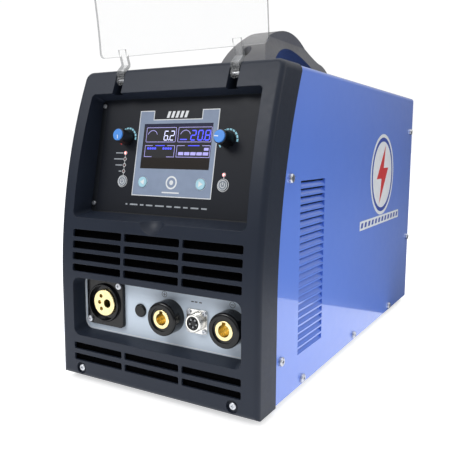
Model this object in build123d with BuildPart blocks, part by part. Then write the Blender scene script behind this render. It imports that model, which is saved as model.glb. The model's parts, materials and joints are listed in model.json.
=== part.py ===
from build123d import *
import math
import os

# A portable MIG welding machine. Millimetres; +Z up, -Y is the front, +X is the right-hand side.
# The origin is the middle of the footprint, on the floor.

# ---- driving dimensions ----------------------------------------------------------------------
CASE_WIDTH = 260.0          # outside of the folded steel cover
CASE_HEIGHT = 353.0         # bottom edge of the cover to its top
CASE_LENGTH = 589.0         # front face of the moulded bezel to the rear edge of the cover
SHEET = 1.5                 # cover, door and panel sheet thickness
BEND_RADIUS = 5.0           # outside of the cover's top bends
FOOT_HEIGHT = 8.0
REAR_FITTINGS = 23.0        # how far the gas inlet stands out behind the cover

BEZEL_WIDTH = 263.4
BEZEL_DEPTH = 39.5
BEZEL_DROP = 1.0            # bezel below the cover's bottom edge
BEZEL_RISE = 2.0            # bezel above the cover's top
BEZEL_WALL = 3.0
FRONT_RADIUS = 615.0        # the front leans back in one large arc above a straight foot
STRAIGHT_HEIGHT = 108.0     # straight part of the front, above the bottom edge

PANEL_TILT = 11.7           # control panel leans back, degrees
PANEL_BASE = (30.7, 187.0)  # depth and height where the panel plane starts
PANEL_SIZE = (232.0, 138.5)
PANEL_THICKNESS = 3.0
FILM_SIZE = (207.0, 130.0)
FILM_CENTRE = 71.5          # up the slope
FILM_THICKNESS = 0.4
SCREEN_SIZE = (92.0, 51.0)
SCREEN_AT = (1.9, 83.0)     # across and up the slope
KNOBS = [(-67.0, 92.5), (67.5, 90.0)]
KEY_RADIUS = 5.9
KEY_HOLE_RADIUS = 6.2
ARROW_KEYS_X, ARROW_KEY_UP = (-37.8, 39.9), 42.0
ROUND_KEY_X, ROUND_KEY_UP = 67.5, 42.0
LAMPS = [(-67.5, 53.6), (-67.5, 60.7), (-67.5, 67.8), (-67.5, 74.9), (67.5, 53.0)]
LAMP_RADIUS = 1.5
PANEL_SCREWS = [(x, up) for x in (-107.0, 107.0) for up in (14.5, 131.0)]

PLATE_DEPTH = 18.5          # connector plate behind the front face
PLATE_THICKNESS = 2.0
EURO_AT = (-76.3, 88.7)     # x and height of the torch connector
EURO_FLANGE = 54.0
PLUG_AT = (-26.8, 85.6)
SOCKETS_AT = [(13.5, 85.5), (91.0, 85.5)]
SOCKET_RADIUS = 18.5
CONTROL_AT = (49.4, 85.0)

VENT_COLUMNS = [(-112.0, -40.6), (-36.6, 36.6), (40.6, 112.0)]
UPPER_VENTS = [129.3, 142.6, 155.9, 169.2]
LOWER_VENTS = [22.6, 36.0]
UPPER_VENT_HEIGHT = 8.8
LOWER_VENT_HEIGHT = 8.2

FLAP_PIVOT = (52.5, 343.0)  # depth and height of the flap's hinge pins
FLAP_OPEN = 156.0           # degrees from shut to the raised rest position
FLAP_HALF_WIDTH = 110.5
FLAP_CORNER = 6.0
FLAP_ARM_X = 75.6
FLAP_ARM_WIDTH = 10.0
FLAP_NOTCH_HALF = 6.2       # half width of the notches the flap's arms turn in
FLAP_THICKNESS = 3.0

LOUVRE_COUNT = 23
LOUVRE_SPAN_Y = (96.0, 170.0)
LOUVRE_SPAN_Z = (37.0, 233.0)
LOUVRE_DEPTH = 3.6          # how far each vane's top is pressed in behind the side
LOUVRE_GAP = 1.0            # plain strip between rows
LOUVRE_SLIT = 2.2           # open height above each vane

DOOR_Y = (95.0, 555.0)
DOOR_Z = (24.0, 325.0)
DOOR_GAP = 1.0
HINGE_OUT = 1.8             # hinge pin axis outside the cover
HINGE_Z = 326.0
HINGE_CENTRES = (180.0, 470.0)
HINGE_LENGTH = 60.0
KNUCKLE_RADIUS = 1.6
LATCH_Y = (200.0, 450.0)
LATCH_Z = 45.0

PAN_THICKNESS = 2.0
PAN_FLANGE = 22.0
REAR_PLATE_AT = 583.5       # inside face of the rear panel
REAR_FLANGE = 25.0
PARTITION_X = -15.0
SPOOL_AT = (405.0, 172.0)
FAN_AT = (56.0, 208.0)
FAN_SIZE = 120.0
FAN_DEPTH = 38.0
SWITCH_AT = (56.0, 314.0)
GLAND_AT = (56.0, 90.0)
GAS_AT = (-75.0, 60.0)
FEED_AT = 170.0             # depth of the drive roll's axis
WIRE_X = -74.8
WIRE_Z = 87.0
ROLL_RADIUS = 15.0
ROLL_WIDTH = 10.0
RUNNING_GAP = 0.05

SCREW_RADIUS = 2.5
SCREW_LENGTH = 8.0
SCREW_HEAD = 3.4
SIDE_SCREWS = [(70.0, 236.0), (53.0, 45.0), (111.0, 7.0), (293.0, 7.0),
               (475.0, 7.0), (574.0, 295.0), (580.0, 110.0)]
FEET_AT = [(x, y) for x in (-92.0, 92.0) for y in (75.0, 515.0)]
HANDLE_SCREWS = (213.0, 428.0)
FAN_SCREW_PITCH = 105.0
GUARD_EYE = 2.6             # thickness of the fan guard's screw eyes

# ---- derived places --------------------------------------------------------------------------
HALF = CASE_WIDTH / 2
INNER = HALF - SHEET
FRONT = -(CASE_LENGTH + REAR_FITTINGS) / 2
REAR = FRONT + CASE_LENGTH
BASE = FOOT_HEIGHT
TOP = BASE + CASE_HEIGHT
ARC_Y = FRONT + FRONT_RADIUS
ARC_Z = BASE + STRAIGHT_HEIGHT
REAR_FACE = FRONT + REAR_PLATE_AT + SHEET
PIVOT = (FRONT + FLAP_PIVOT[0], BASE + FLAP_PIVOT[1])
HINGE_X = -(HALF + HINGE_OUT)
ROLL_GAP = 0.5
DRIVE_Z = WIRE_Z - ROLL_RADIUS - ROLL_GAP
PRESSURE_Z = WIRE_Z + ROLL_RADIUS + ROLL_GAP
TILT = math.radians(PANEL_TILT)

PANEL = Plane(
    origin=(0, FRONT + PANEL_BASE[0], BASE + PANEL_BASE[1]),
    x_dir=(1, 0, 0),
    z_dir=(0, -math.cos(TILT), math.sin(TILT)),
)
OUTWARD = Axis(PANEL.origin, PANEL.z_dir)
FLAP = Plane(
    origin=(0, *PIVOT),
    x_dir=(0, math.cos(math.radians(FLAP_OPEN)), -math.sin(math.radians(FLAP_OPEN))),
    z_dir=(1, 0, 0),
)


def seen_from_front(y):
    """A plane across the machine at depth y, facing the front; local y is up."""
    return Plane(origin=(0, FRONT + y, BASE), x_dir=(1, 0, 0), z_dir=(0, -1, 0))


def side_plane(x):
    """A plane along the machine at x, facing +X; local x is depth, local y is height."""
    return Plane(origin=(x, FRONT, BASE), x_dir=(0, 1, 0), z_dir=(1, 0, 0))


def floor_plane(z):
    """A level plane at height z above the case's bottom edge; local y is depth."""
    return Plane(origin=(0, FRONT, BASE + z), x_dir=(1, 0, 0), z_dir=(0, 0, 1))


def arc_depth(height, radius):
    """Depth of a line concentric with the leaning front, at a height above the bottom edge."""
    rise = max(height - STRAIGHT_HEIGHT, 0.0)
    return FRONT_RADIUS - math.sqrt(radius**2 - rise**2)


def arc_between(low, high, radius):
    """The concentric arc from one height to another, on a side plane."""
    middle = (low + high) / 2
    return ThreePointArc(
        (arc_depth(low, radius), low),
        (arc_depth(middle, radius), middle),
        (arc_depth(high, radius), high),
    )


def block(x, y, z, mode=Mode.ADD):
    """A box between two values of x, two depths and two heights."""
    with Locations((sum(x) / 2, FRONT + sum(y) / 2, BASE + sum(z) / 2)):
        Box(x[1] - x[0], y[1] - y[0], z[1] - z[0], mode=mode)


def keep(piece, name):
    """Label a finished piece and write its file."""
    piece.part.label = name
    export_step(piece.part, f"parts/{name}.step")


# ---- front bezel -----------------------------------------------------------------------------
CORNER_RADIUS = 10.0
EDGE_RADIUS = 6.0


def bezel_form(inset, depth):
    """The leaning front block, inset all round, with rounded corners and front edge."""
    low = -BEZEL_DROP + inset
    high = CASE_HEIGHT + BEZEL_RISE - inset
    outer = FRONT_RADIUS - inset
    inner = FRONT_RADIUS - depth
    with BuildPart() as form:
        with BuildSketch(side_plane(0)):
            with BuildLine():
                Line((inset, low), (inset, STRAIGHT_HEIGHT))
                arc_between(STRAIGHT_HEIGHT, high, outer)
                Line((arc_depth(high, outer), high), (arc_depth(high, inner), high))
                arc_between(STRAIGHT_HEIGHT, high, inner)
                Line((depth, STRAIGHT_HEIGHT), (depth, low))
                Line((depth, low), (inset, low))
            make_face()
        extrude(amount=BEZEL_WIDTH / 2 - inset, both=True)
        corners = form.edges().filter_by(Axis.Y).group_by(Axis.Z)[-1]
        fillet(corners, radius=CORNER_RADIUS - inset)
        joint_height = ARC_Z
        front_faces = form.faces().sort_by(Axis.Y)[:2]
        rim = [
            edge
            for face in front_faces
            for edge in face.edges()
            if abs(edge.center().Z - joint_height) > 0.01
        ]
        fillet(rim, radius=EDGE_RADIUS - inset)
    return form.part


def panel_pocket(wall):
    """The tapered recess down to the control panel, grown by a wall thickness."""
    with BuildPart() as pocket:
        with BuildSketch(PANEL):
            with Locations((0, FILM_CENTRE)):
                RectangleRounded(221.0 + 2 * wall, 132.8 + 2 * wall, 4.0 + wall)
        with BuildSketch(seen_from_front(-10.0)):
            with Locations((0, 264.95)):
                RectangleRounded(231.0 + 2 * wall, 161.3 + 2 * wall, 7.0 + wall)
        loft()
    return pocket.part


def connector_pocket(wall):
    """The tapered recess down to the connector plate, grown by a wall thickness."""
    with BuildPart() as pocket:
        with BuildSketch(seen_from_front(PLATE_DEPTH)):
            with Locations((0, 85.1)):
                RectangleRounded(221.0 + 2 * wall, 64.2 + 2 * wall, 10.0 + wall)
        with BuildSketch(seen_from_front(-10.0)):
            with Locations((0, 82.5)):
                RectangleRounded(225.2 + 2 * wall, 71.4 + 2 * wall, 8.0 + wall)
        loft()
    return pocket.part


def bezel_screw_places():
    return [(-102.0, 9.3), (102.0, 9.3)]


BEZEL_BOSS_RADIUS = 8.4
BEZEL_SINK_RADIUS = 6.9     # counterbore round each screw low on the bezel
BEZEL_SINK = 3.0
FRONT_SCREW_RADIUS = 2.0
FRONT_SCREW_HEAD = 4.0
EAR_X = (INNER - 6.0, INNER)

outer_form = bezel_form(0.0, BEZEL_DEPTH)
inner_form = bezel_form(BEZEL_WALL, BEZEL_DEPTH + 12.0)

with BuildPart() as pocket_walls:
    add(panel_pocket(BEZEL_WALL))
    add(connector_pocket(BEZEL_WALL))
    # a solid pad behind the finger scoop and one at each side of the flap's hinges
    block((-22, 22), (4, 18), (174.4, 189))
    for x in (-FLAP_ARM_X, FLAP_ARM_X):
        block((x - 12.5, x + 12.5), (44, 67), (324.5, 353.0))
    add(outer_form, mode=Mode.INTERSECT)

with BuildPart() as front_bezel:
    add(outer_form)
    add(inner_form, mode=Mode.SUBTRACT)
    add(pocket_walls.part)
    with BuildSketch(seen_from_front(1.0)):
        with Locations(*bezel_screw_places()):
            Circle(BEZEL_BOSS_RADIUS)
    extrude(amount=-(BEZEL_DEPTH - 1.0))
    # ears behind the side walls that take the cover's front screws
    for side in (-1, 1):
        for depth, height in SIDE_SCREWS[:2]:
            ear = (height - 7.0, height + 7.0)
            root = arc_depth(ear[0], FRONT_RADIUS - BEZEL_DEPTH)
            block(sorted((side * EAR_X[0], side * EAR_X[1])), (root - 12.0, depth + 8.0), ear)
            x = sorted((side * EAR_X[0], side * (BEZEL_WIDTH / 2 - 1.0)))
            block(x, (root - 12.0, root), ear)
    add(panel_pocket(0.0), mode=Mode.SUBTRACT)
    add(connector_pocket(0.0), mode=Mode.SUBTRACT)
    with Locations((0, FRONT - 5.5, BASE + 193.4)):
        Sphere(20.6, mode=Mode.SUBTRACT)
    for x in (-FLAP_ARM_X, FLAP_ARM_X):
        notch = (x - FLAP_NOTCH_HALF, x + FLAP_NOTCH_HALF)
        block(notch, (20, 62), (326.5, 360), mode=Mode.SUBTRACT)
    with BuildSketch(seen_from_front(-5.0)):
        for low, high in VENT_COLUMNS:
            with Locations(*[((low + high) / 2, z) for z in UPPER_VENTS]):
                RectangleRounded(high - low, UPPER_VENT_HEIGHT, 1.8)
            with Locations(*[((low + high) / 2, z) for z in LOWER_VENTS]):
                RectangleRounded(high - low, LOWER_VENT_HEIGHT, 1.8)
    extrude(amount=-20.0, mode=Mode.SUBTRACT)
    with BuildSketch(seen_from_front(0.0)):
        with Locations(*bezel_screw_places()):
            Circle(BEZEL_SINK_RADIUS)
    extrude(amount=-BEZEL_SINK, mode=Mode.SUBTRACT)
    with BuildSketch(seen_from_front(0.0)):
        with Locations(*bezel_screw_places()):
            Circle(FRONT_SCREW_RADIUS)
    extrude(amount=-19.0, mode=Mode.SUBTRACT)
    with BuildSketch(side_plane(0)):
        with Locations(*SIDE_SCREWS[:2]):
            Circle(SCREW_RADIUS)
    extrude(amount=HALF, both=True, mode=Mode.SUBTRACT)
    with BuildSketch(side_plane(-FLAP_ARM_X - 12.0)):
        with Locations(FLAP_PIVOT):
            Circle(2.0)
    extrude(amount=24.0, mode=Mode.SUBTRACT)
    with BuildSketch(side_plane(FLAP_ARM_X - 12.0)):
        with Locations(FLAP_PIVOT):
            Circle(2.0)
    extrude(amount=24.0, mode=Mode.SUBTRACT)

with BuildPart() as flap_pins:
    for x in (-FLAP_ARM_X, FLAP_ARM_X):
        with BuildSketch(side_plane(x - 12.0)):
            with Locations(FLAP_PIVOT):
                Circle(2.0)
        extrude(amount=24.0)

# ---- clear flap, drawn in its shut shape about its hinge and raised with the FLAP plane ---------
FLAP_LOW, FLAP_HIGH = 188.5, 318.9


def about_pivot(height, radius):
    return (arc_depth(height, radius) - FLAP_PIVOT[0], height - FLAP_PIVOT[1])


with BuildPart() as clear_flap:
    face_radius = FRONT_RADIUS
    back_radius = FRONT_RADIUS - FLAP_THICKNESS
    middle = (FLAP_LOW + FLAP_HIGH) / 2
    with BuildSketch(FLAP):
        with BuildLine():
            ThreePointArc(*[about_pivot(z, face_radius) for z in (FLAP_LOW, middle, FLAP_HIGH)])
            Line(about_pivot(FLAP_HIGH, face_radius), about_pivot(FLAP_HIGH, back_radius))
            ThreePointArc(*[about_pivot(z, back_radius) for z in (FLAP_HIGH, middle, FLAP_LOW)])
            Line(about_pivot(FLAP_LOW, back_radius), about_pivot(FLAP_LOW, face_radius))
        make_face()
    extrude(amount=FLAP_HALF_WIDTH, both=True)
    sheet_ends = clear_flap.faces().filter_by(Axis.X).edges()
    short_ends = [edge for edge in sheet_ends if edge.geom_type == GeomType.LINE]
    corners = [
        edge
        for edge in clear_flap.edges().filter_by(GeomType.LINE)
        if any((edge.center() - end.center()).length < 0.01 for end in short_ends)
    ]
    fillet(corners, radius=FLAP_CORNER)
    for x in (-FLAP_ARM_X, FLAP_ARM_X):
        with BuildSketch(FLAP.offset(x)):
            with BuildLine():
                FilletPolyline((-14.6, -32.0), (-13.0, -13.6), (-0.6, -9.6), (0.0, 0.0), radius=3.0)
            trace(line_width=4.2)
            Circle(5.0)
        extrude(amount=FLAP_ARM_WIDTH / 2, both=True)
        with BuildSketch(FLAP.offset(x)):
            Circle(2.0 + RUNNING_GAP)
        extrude(amount=FLAP_ARM_WIDTH, both=True, mode=Mode.SUBTRACT)

# ---- control panel ---------------------------------------------------------------------------
KEYS = {
    "mode_key": (-ROUND_KEY_X, ROUND_KEY_UP),
    "function_key": (ROUND_KEY_X, ROUND_KEY_UP),
    "left_arrow_key": (ARROW_KEYS_X[0], ARROW_KEY_UP),
    "right_arrow_key": (ARROW_KEYS_X[1], ARROW_KEY_UP),
}


def panel_openings():
    """Openings shared by the panel plate and the film on it, as a sketch on the current plane."""
    with Locations(SCREEN_AT):
        Rectangle(*SCREEN_SIZE)
    with Locations(*KNOBS):
        Circle(4.0)
    with Locations(*KEYS.values()):
        Circle(KEY_HOLE_RADIUS)
    with Locations(*LAMPS):
        Circle(LAMP_RADIUS)


with BuildPart() as control_panel:
    with BuildSketch(PANEL):
        with Locations((0, 71.0)):
            RectangleRounded(*PANEL_SIZE, 3.0)
    extrude(amount=-PANEL_THICKNESS)
    with BuildSketch(PANEL):
        panel_openings()
        with Locations(*PANEL_SCREWS):
            Circle(1.5)
    extrude(amount=-PANEL_THICKNESS, mode=Mode.SUBTRACT)

with BuildPart() as panel_overlay:
    with BuildSketch(PANEL):
        with Locations((0, FILM_CENTRE)):
            RectangleRounded(*FILM_SIZE, 3.0)
    extrude(amount=FILM_THICKNESS)
    with BuildSketch(PANEL):
        panel_openings()
    extrude(amount=FILM_THICKNESS, mode=Mode.SUBTRACT)

with BuildPart() as display_screen:
    with BuildSketch(PANEL.offset(-2.0)):
        with Locations(SCREEN_AT):
            Rectangle(*SCREEN_SIZE)
    extrude(amount=2.0)

with BuildPart() as indicator_lenses:
    with BuildSketch(PANEL.offset(-1.5)):
        with Locations(*LAMPS):
            Circle(LAMP_RADIUS)
    extrude(amount=2.5)
    fillet(indicator_lenses.faces().sort_by(OUTWARD)[-len(LAMPS):].edges(), radius=0.5)

KNOB_LIFT = 0.9             # underside of a knob above the panel plate
KNOB_HEIGHT = 16.2
KNOB_FLUTES = 18
CAP_HEIGHT = 1.7


def make_knob(place):
    """A tapered, fluted knob with a short shaft that passes through the panel."""
    with BuildPart() as knob:
        with BuildSketch(PANEL.offset(KNOB_LIFT)):
            with Locations(place):
                Circle(8.6)
        extrude(amount=KNOB_HEIGHT, taper=3.0)
        fillet(knob.faces().sort_by(OUTWARD)[-1].edges(), radius=0.8)
        with BuildSketch(PANEL.offset(KNOB_LIFT)):
            with Locations(place):
                with PolarLocations(9.0, KNOB_FLUTES):
                    Circle(0.8)
        extrude(amount=KNOB_HEIGHT - 3.0, mode=Mode.SUBTRACT)
        with BuildSketch(PANEL.offset(KNOB_LIFT)):
            with Locations(place):
                Circle(3.0)
        extrude(amount=-7.0)
    return knob


def make_cap(place):
    """The coloured disc on a knob's end."""
    with BuildPart() as cap:
        with BuildSketch(PANEL.offset(KNOB_LIFT + KNOB_HEIGHT)):
            with Locations(place):
                Circle(6.6)
        extrude(amount=CAP_HEIGHT)
        fillet(cap.faces().sort_by(OUTWARD)[-1].edges(), radius=0.6)
    return cap


def make_key(place):
    """A round push key in its hole, proud of the film."""
    with BuildPart() as key:
        with BuildSketch(PANEL.offset(-2.5)):
            with Locations(place):
                Circle(KEY_RADIUS)
        extrude(amount=3.9)
        fillet(key.faces().sort_by(OUTWARD)[-1].edges(), radius=0.5)
    return key


BOARD_BEHIND = 14.0
with BuildPart() as control_board:
    with BuildSketch(PANEL.offset(-BOARD_BEHIND)):
        with Locations((0, 71.0)):
            Rectangle(206.0, 116.0)
    extrude(amount=1.6)
    with BuildSketch(PANEL.offset(-BOARD_BEHIND)):
        with Locations((0, 71.0)):
            with GridLocations(190.0, 104.0, 2, 2):
                Circle(3.0)
    extrude(amount=BOARD_BEHIND - PANEL_THICKNESS)
    with BuildSketch(PANEL.offset(-BOARD_BEHIND)):
        with Locations(*KNOBS):
            Circle(8.0)
    extrude(amount=5.5)
    with BuildSketch(PANEL.offset(-BOARD_BEHIND)):
        with Locations(SCREEN_AT):
            Rectangle(80.0, 40.0)
    extrude(amount=5.0)

# ---- connector plate and its sockets ---------------------------------------------------------
EURO_RADIUS = 15.5
EURO_BORE = 5.0
EURO_BORE_AT = (EURO_AT[0] + 5.0, EURO_AT[1] - 0.3)
EURO_PINS = [(-4.2, 7.6), (-6.6, 0.0), (-4.0, -7.4)]
EURO_SINK = 20.5            # wide opening in the front of the flange
EURO_FLOOR = 2.0            # flange left behind that opening
EURO_LENGTH = 42.0
EURO_SCREWS = [(EURO_AT[0] + 22.0, EURO_AT[1] + 22.0), (EURO_AT[0] - 22.0, EURO_AT[1] - 22.0)]
CONTACT_RADIUS = 10.25
PIN_BORE = 6.5
CONTROL_PITCH = 19.4
CONTROL_BARREL = 9.5
CONTROL_INSERT = 7.4

with BuildPart() as connector_plate:
    with BuildSketch(seen_from_front(PLATE_DEPTH)):
        with Locations((0, 84.0)):
            RectangleRounded(229.0, 74.0, 6.0)
    extrude(amount=-PLATE_THICKNESS)
    with BuildSketch(seen_from_front(PLATE_DEPTH)):
        with Locations(EURO_AT):
            Circle(EURO_RADIUS)
        with Locations(*EURO_SCREWS):
            Circle(FRONT_SCREW_RADIUS)
        with Locations(*SOCKETS_AT):
            Circle(13.0)
        with Locations(CONTROL_AT):
            Circle(8.4)
            with GridLocations(CONTROL_PITCH, CONTROL_PITCH, 2, 2):
                Circle(1.5)
        with Locations(PLUG_AT):
            Circle(5.5)
    extrude(amount=-PLATE_THICKNESS, mode=Mode.SUBTRACT)

with BuildPart() as euro_flange:
    with BuildSketch(seen_from_front(PLATE_DEPTH)):
        with Locations(EURO_AT):
            RectangleRounded(EURO_FLANGE, EURO_FLANGE, 4.5)
    extrude(amount=4.5)
    fillet(euro_flange.faces().sort_by(Axis.Y)[0].edges(), radius=0.8)
    with BuildSketch(seen_from_front(PLATE_DEPTH - 4.5)):
        with Locations(EURO_AT):
            Circle(22.5)
    extrude(amount=3.5)
    rim = euro_flange.faces().sort_by(Axis.Y)[0].edges()
    fillet(rim, radius=1.2)
    with BuildSketch(seen_from_front(PLATE_DEPTH)):
        with Locations(EURO_AT):
            Circle(EURO_RADIUS)
        with Locations(*EURO_SCREWS):
            Circle(FRONT_SCREW_RADIUS)
    extrude(amount=12.0, mode=Mode.SUBTRACT)
    with BuildSketch(seen_from_front(PLATE_DEPTH - EURO_FLOOR)):
        with Locations(EURO_AT):
            Circle(EURO_SINK)
    extrude(amount=12.0, mode=Mode.SUBTRACT)

with BuildPart() as euro_socket:
    with BuildSketch(seen_from_front(PLATE_DEPTH + 36.0)):
        with Locations(EURO_AT):
            Circle(EURO_RADIUS)
    extrude(amount=EURO_LENGTH)
    fillet(euro_socket.faces().sort_by(Axis.Y)[0].edges(), radius=1.0)
    with BuildSketch(seen_from_front(0.0)):
        with Locations(EURO_BORE_AT):
            Circle(EURO_BORE)
    extrude(amount=-70.0, mode=Mode.SUBTRACT)
    with BuildSketch(seen_from_front(0.0)):
        with Locations(*[(EURO_AT[0] + x, EURO_AT[1] + z) for x, z in EURO_PINS]):
            Circle(2.3)
    extrude(amount=-22.0, mode=Mode.SUBTRACT)

with BuildPart() as blanking_plug:
    with BuildSketch(seen_from_front(PLATE_DEPTH)):
        with Locations(PLUG_AT):
            Circle(7.6)
    extrude(amount=2.6)
    fillet(blanking_plug.faces().sort_by(Axis.Y)[0].edges(), radius=2.0)
    with BuildSketch(seen_from_front(PLATE_DEPTH)):
        with Locations(PLUG_AT):
            Circle(5.5)
    extrude(amount=-6.0)

SOCKET_FACE = 0.8           # depth of the socket bodies' front rims
with BuildPart() as socket_bodies:
    with BuildSketch(seen_from_front(PLATE_DEPTH)):
        with Locations(*SOCKETS_AT):
            Circle(SOCKET_RADIUS)
    extrude(amount=PLATE_DEPTH - SOCKET_FACE)
    fillet(socket_bodies.faces().sort_by(Axis.Y)[:2].edges(), radius=3.0)
    with BuildSketch(seen_from_front(SOCKET_FACE)):
        with Locations(*SOCKETS_AT):
            Circle(13.0)
    extrude(amount=-1.6, mode=Mode.SUBTRACT)
    with BuildSketch(seen_from_front(PLATE_DEPTH)):
        with Locations(*SOCKETS_AT):
            Circle(13.0)
    extrude(amount=-12.0)
    with BuildSketch(seen_from_front(PLATE_DEPTH + PLATE_THICKNESS)):
        with Locations(*SOCKETS_AT):
            RegularPolygon(17.0, 6)
    extrude(amount=-5.0)
    with BuildSketch(seen_from_front(-5.0)):
        with Locations(*SOCKETS_AT):
            Circle(CONTACT_RADIUS)
    extrude(amount=-50.0, mode=Mode.SUBTRACT)

with BuildPart() as socket_contacts:
    with BuildSketch(seen_from_front(1.6)):
        with Locations(*SOCKETS_AT):
            Circle(CONTACT_RADIUS)
    extrude(amount=-38.0)
    fillet(socket_contacts.faces().sort_by(Axis.Y)[:2].edges(), radius=0.5)
    with BuildSketch(seen_from_front(1.6)):
        with Locations(*SOCKETS_AT):
            Circle(PIN_BORE)
    extrude(amount=-24.0, mode=Mode.SUBTRACT)
    with BuildSketch(seen_from_front(1.6)):
        with Locations(*[(x, z + 7.0) for x, z in SOCKETS_AT]):
            Rectangle(4.4, 4.0)
    extrude(amount=-14.0, mode=Mode.SUBTRACT)

with BuildPart() as control_socket_shell:
    with BuildSketch(seen_from_front(PLATE_DEPTH)):
        with Locations(CONTROL_AT):
            RectangleRounded(25.4, 25.8, 3.0)
    extrude(amount=2.2)
    with BuildSketch(seen_from_front(PLATE_DEPTH - 2.2)):
        with Locations(CONTROL_AT):
            Circle(CONTROL_BARREL)
    extrude(amount=8.0)
    chamfer(control_socket_shell.faces().sort_by(Axis.Y)[0].edges(), length=0.6)
    with BuildSketch(seen_from_front(PLATE_DEPTH)):
        with Locations(CONTROL_AT):
            Circle(8.4)
    extrude(amount=-12.0)
    with BuildSketch(seen_from_front(PLATE_DEPTH + 12.0)):
        with Locations(CONTROL_AT):
            Circle(CONTROL_INSERT)
            with GridLocations(CONTROL_PITCH, CONTROL_PITCH, 2, 2):
                Circle(1.5)
    extrude(amount=40.0, mode=Mode.SUBTRACT)

with BuildPart() as control_socket_insert:
    with BuildSketch(seen_from_front(PLATE_DEPTH + 14.0)):
        with Locations(CONTROL_AT):
            Circle(CONTROL_INSERT)
    extrude(amount=23.0)
    with BuildSketch(seen_from_front(0.0)):
        with Locations(CONTROL_AT):
            with PolarLocations(4.2, 5, start_angle=18):
                Circle(0.9)
    extrude(amount=-20.0, mode=Mode.SUBTRACT)

# ---- screws ----------------------------------------------------------------------------------


def add_screws(screws, plane, places, shank, length, head, height):
    """Pan-head screws with a cross recess; the plane is the screwed surface, facing out."""
    with BuildSketch(plane) as heads:
        with Locations(*places):
            Circle(head)
    extrude(heads.sketch, amount=height)
    tops = screws.faces(Select.LAST).filter_by(
        lambda face: abs(plane.to_local_coords(face.center()).Z - height) < 0.01
    )
    fillet(tops.edges(), radius=height * 0.5)
    with BuildSketch(plane.offset(height)) as crosses:
        with Locations(*places):
            Rectangle(head, head * 0.24)
            Rectangle(head * 0.24, head)
    extrude(crosses.sketch, amount=-height * 0.55, mode=Mode.SUBTRACT)
    with BuildSketch(plane) as shanks:
        with Locations(*places):
            Circle(shank)
    extrude(shanks.sketch, amount=-length)


SMALL_SCREW = (1.5, 7.0, 2.8, 1.7)       # shank radius, length, head radius, head height
FRONT_SCREW = (FRONT_SCREW_RADIUS, 14.0, FRONT_SCREW_HEAD, 2.2)
CASE_SCREW = (SCREW_RADIUS, SCREW_LENGTH, 5.0, SCREW_HEAD)

with BuildPart() as small_screws:
    add_screws(small_screws, PANEL, PANEL_SCREWS, *SMALL_SCREW)
    control_screws = [
        (CONTROL_AT[0] + x * CONTROL_PITCH / 2, CONTROL_AT[1] + z * CONTROL_PITCH / 2)
        for x in (-1, 1)
        for z in (-1, 1)
    ]
    add_screws(small_screws, seen_from_front(PLATE_DEPTH - 2.2), control_screws, *SMALL_SCREW)

with BuildPart() as front_screws:
    add_screws(front_screws, seen_from_front(BEZEL_SINK), bezel_screw_places(), *FRONT_SCREW)
    add_screws(front_screws, seen_from_front(PLATE_DEPTH - 4.5), EURO_SCREWS, *FRONT_SCREW)

REAR_SEEN = Plane(origin=(0, REAR_FACE, BASE), x_dir=(-1, 0, 0), z_dir=(0, 1, 0))
FAN_SCREWS = [
    (-FAN_AT[0] + x * FAN_SCREW_PITCH / 2, FAN_AT[1] + z * FAN_SCREW_PITCH / 2)
    for x in (-1, 1)
    for z in (-1, 1)
]
RIGHT_SIDE = side_plane(HALF)
LEFT_SIDE = Plane(origin=(-HALF, FRONT, BASE), x_dir=(0, -1, 0), z_dir=(-1, 0, 0))
FOOT_RECESS = 4.0
FOOT_UNDERSIDE = Plane(origin=(0, FRONT, BASE - FOOT_RECESS), x_dir=(1, 0, 0), z_dir=(0, 0, -1))
HANDLE_SEAT = 9.0

with BuildPart() as case_screws:
    add_screws(case_screws, RIGHT_SIDE, SIDE_SCREWS, *CASE_SCREW)
    add_screws(case_screws, LEFT_SIDE, [(-y, z) for y, z in SIDE_SCREWS], *CASE_SCREW)
    add_screws(case_screws, FOOT_UNDERSIDE, [(x, -y) for x, y in FEET_AT], *CASE_SCREW)
    add_screws(case_screws, REAR_SEEN.offset(GUARD_EYE), FAN_SCREWS, *CASE_SCREW)

with BuildPart() as handle_screws:
    top_of_seat = floor_plane(CASE_HEIGHT + HANDLE_SEAT)
    add_screws(handle_screws, top_of_seat, [(0, y) for y in HANDLE_SCREWS], 3.0, 13.0, 5.2, 3.4)

# ---- folded steel cover ----------------------------------------------------------------------
LOUVRE_PITCH = (LOUVRE_SPAN_Z[1] - LOUVRE_SPAN_Z[0]) / LOUVRE_COUNT
LOUVRE_VANE = 1.1           # vane thickness, measured across the side
LOUVRE_END = 1.2            # end wall thickness

with BuildPart() as front_cut:
    with BuildSketch(side_plane(0)):
        with BuildLine():
            inner = FRONT_RADIUS - BEZEL_DEPTH
            Line((BEZEL_DEPTH, -20), (BEZEL_DEPTH, STRAIGHT_HEIGHT))
            arc_between(STRAIGHT_HEIGHT, CASE_HEIGHT + 20, inner)
            Line((arc_depth(CASE_HEIGHT + 20, inner), CASE_HEIGHT + 20), (-40, CASE_HEIGHT + 20))
            Line((-40, CASE_HEIGHT + 20), (-40, -20))
            Line((-40, -20), (BEZEL_DEPTH, -20))
        make_face()
    extrude(amount=CASE_WIDTH, both=True)

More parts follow.
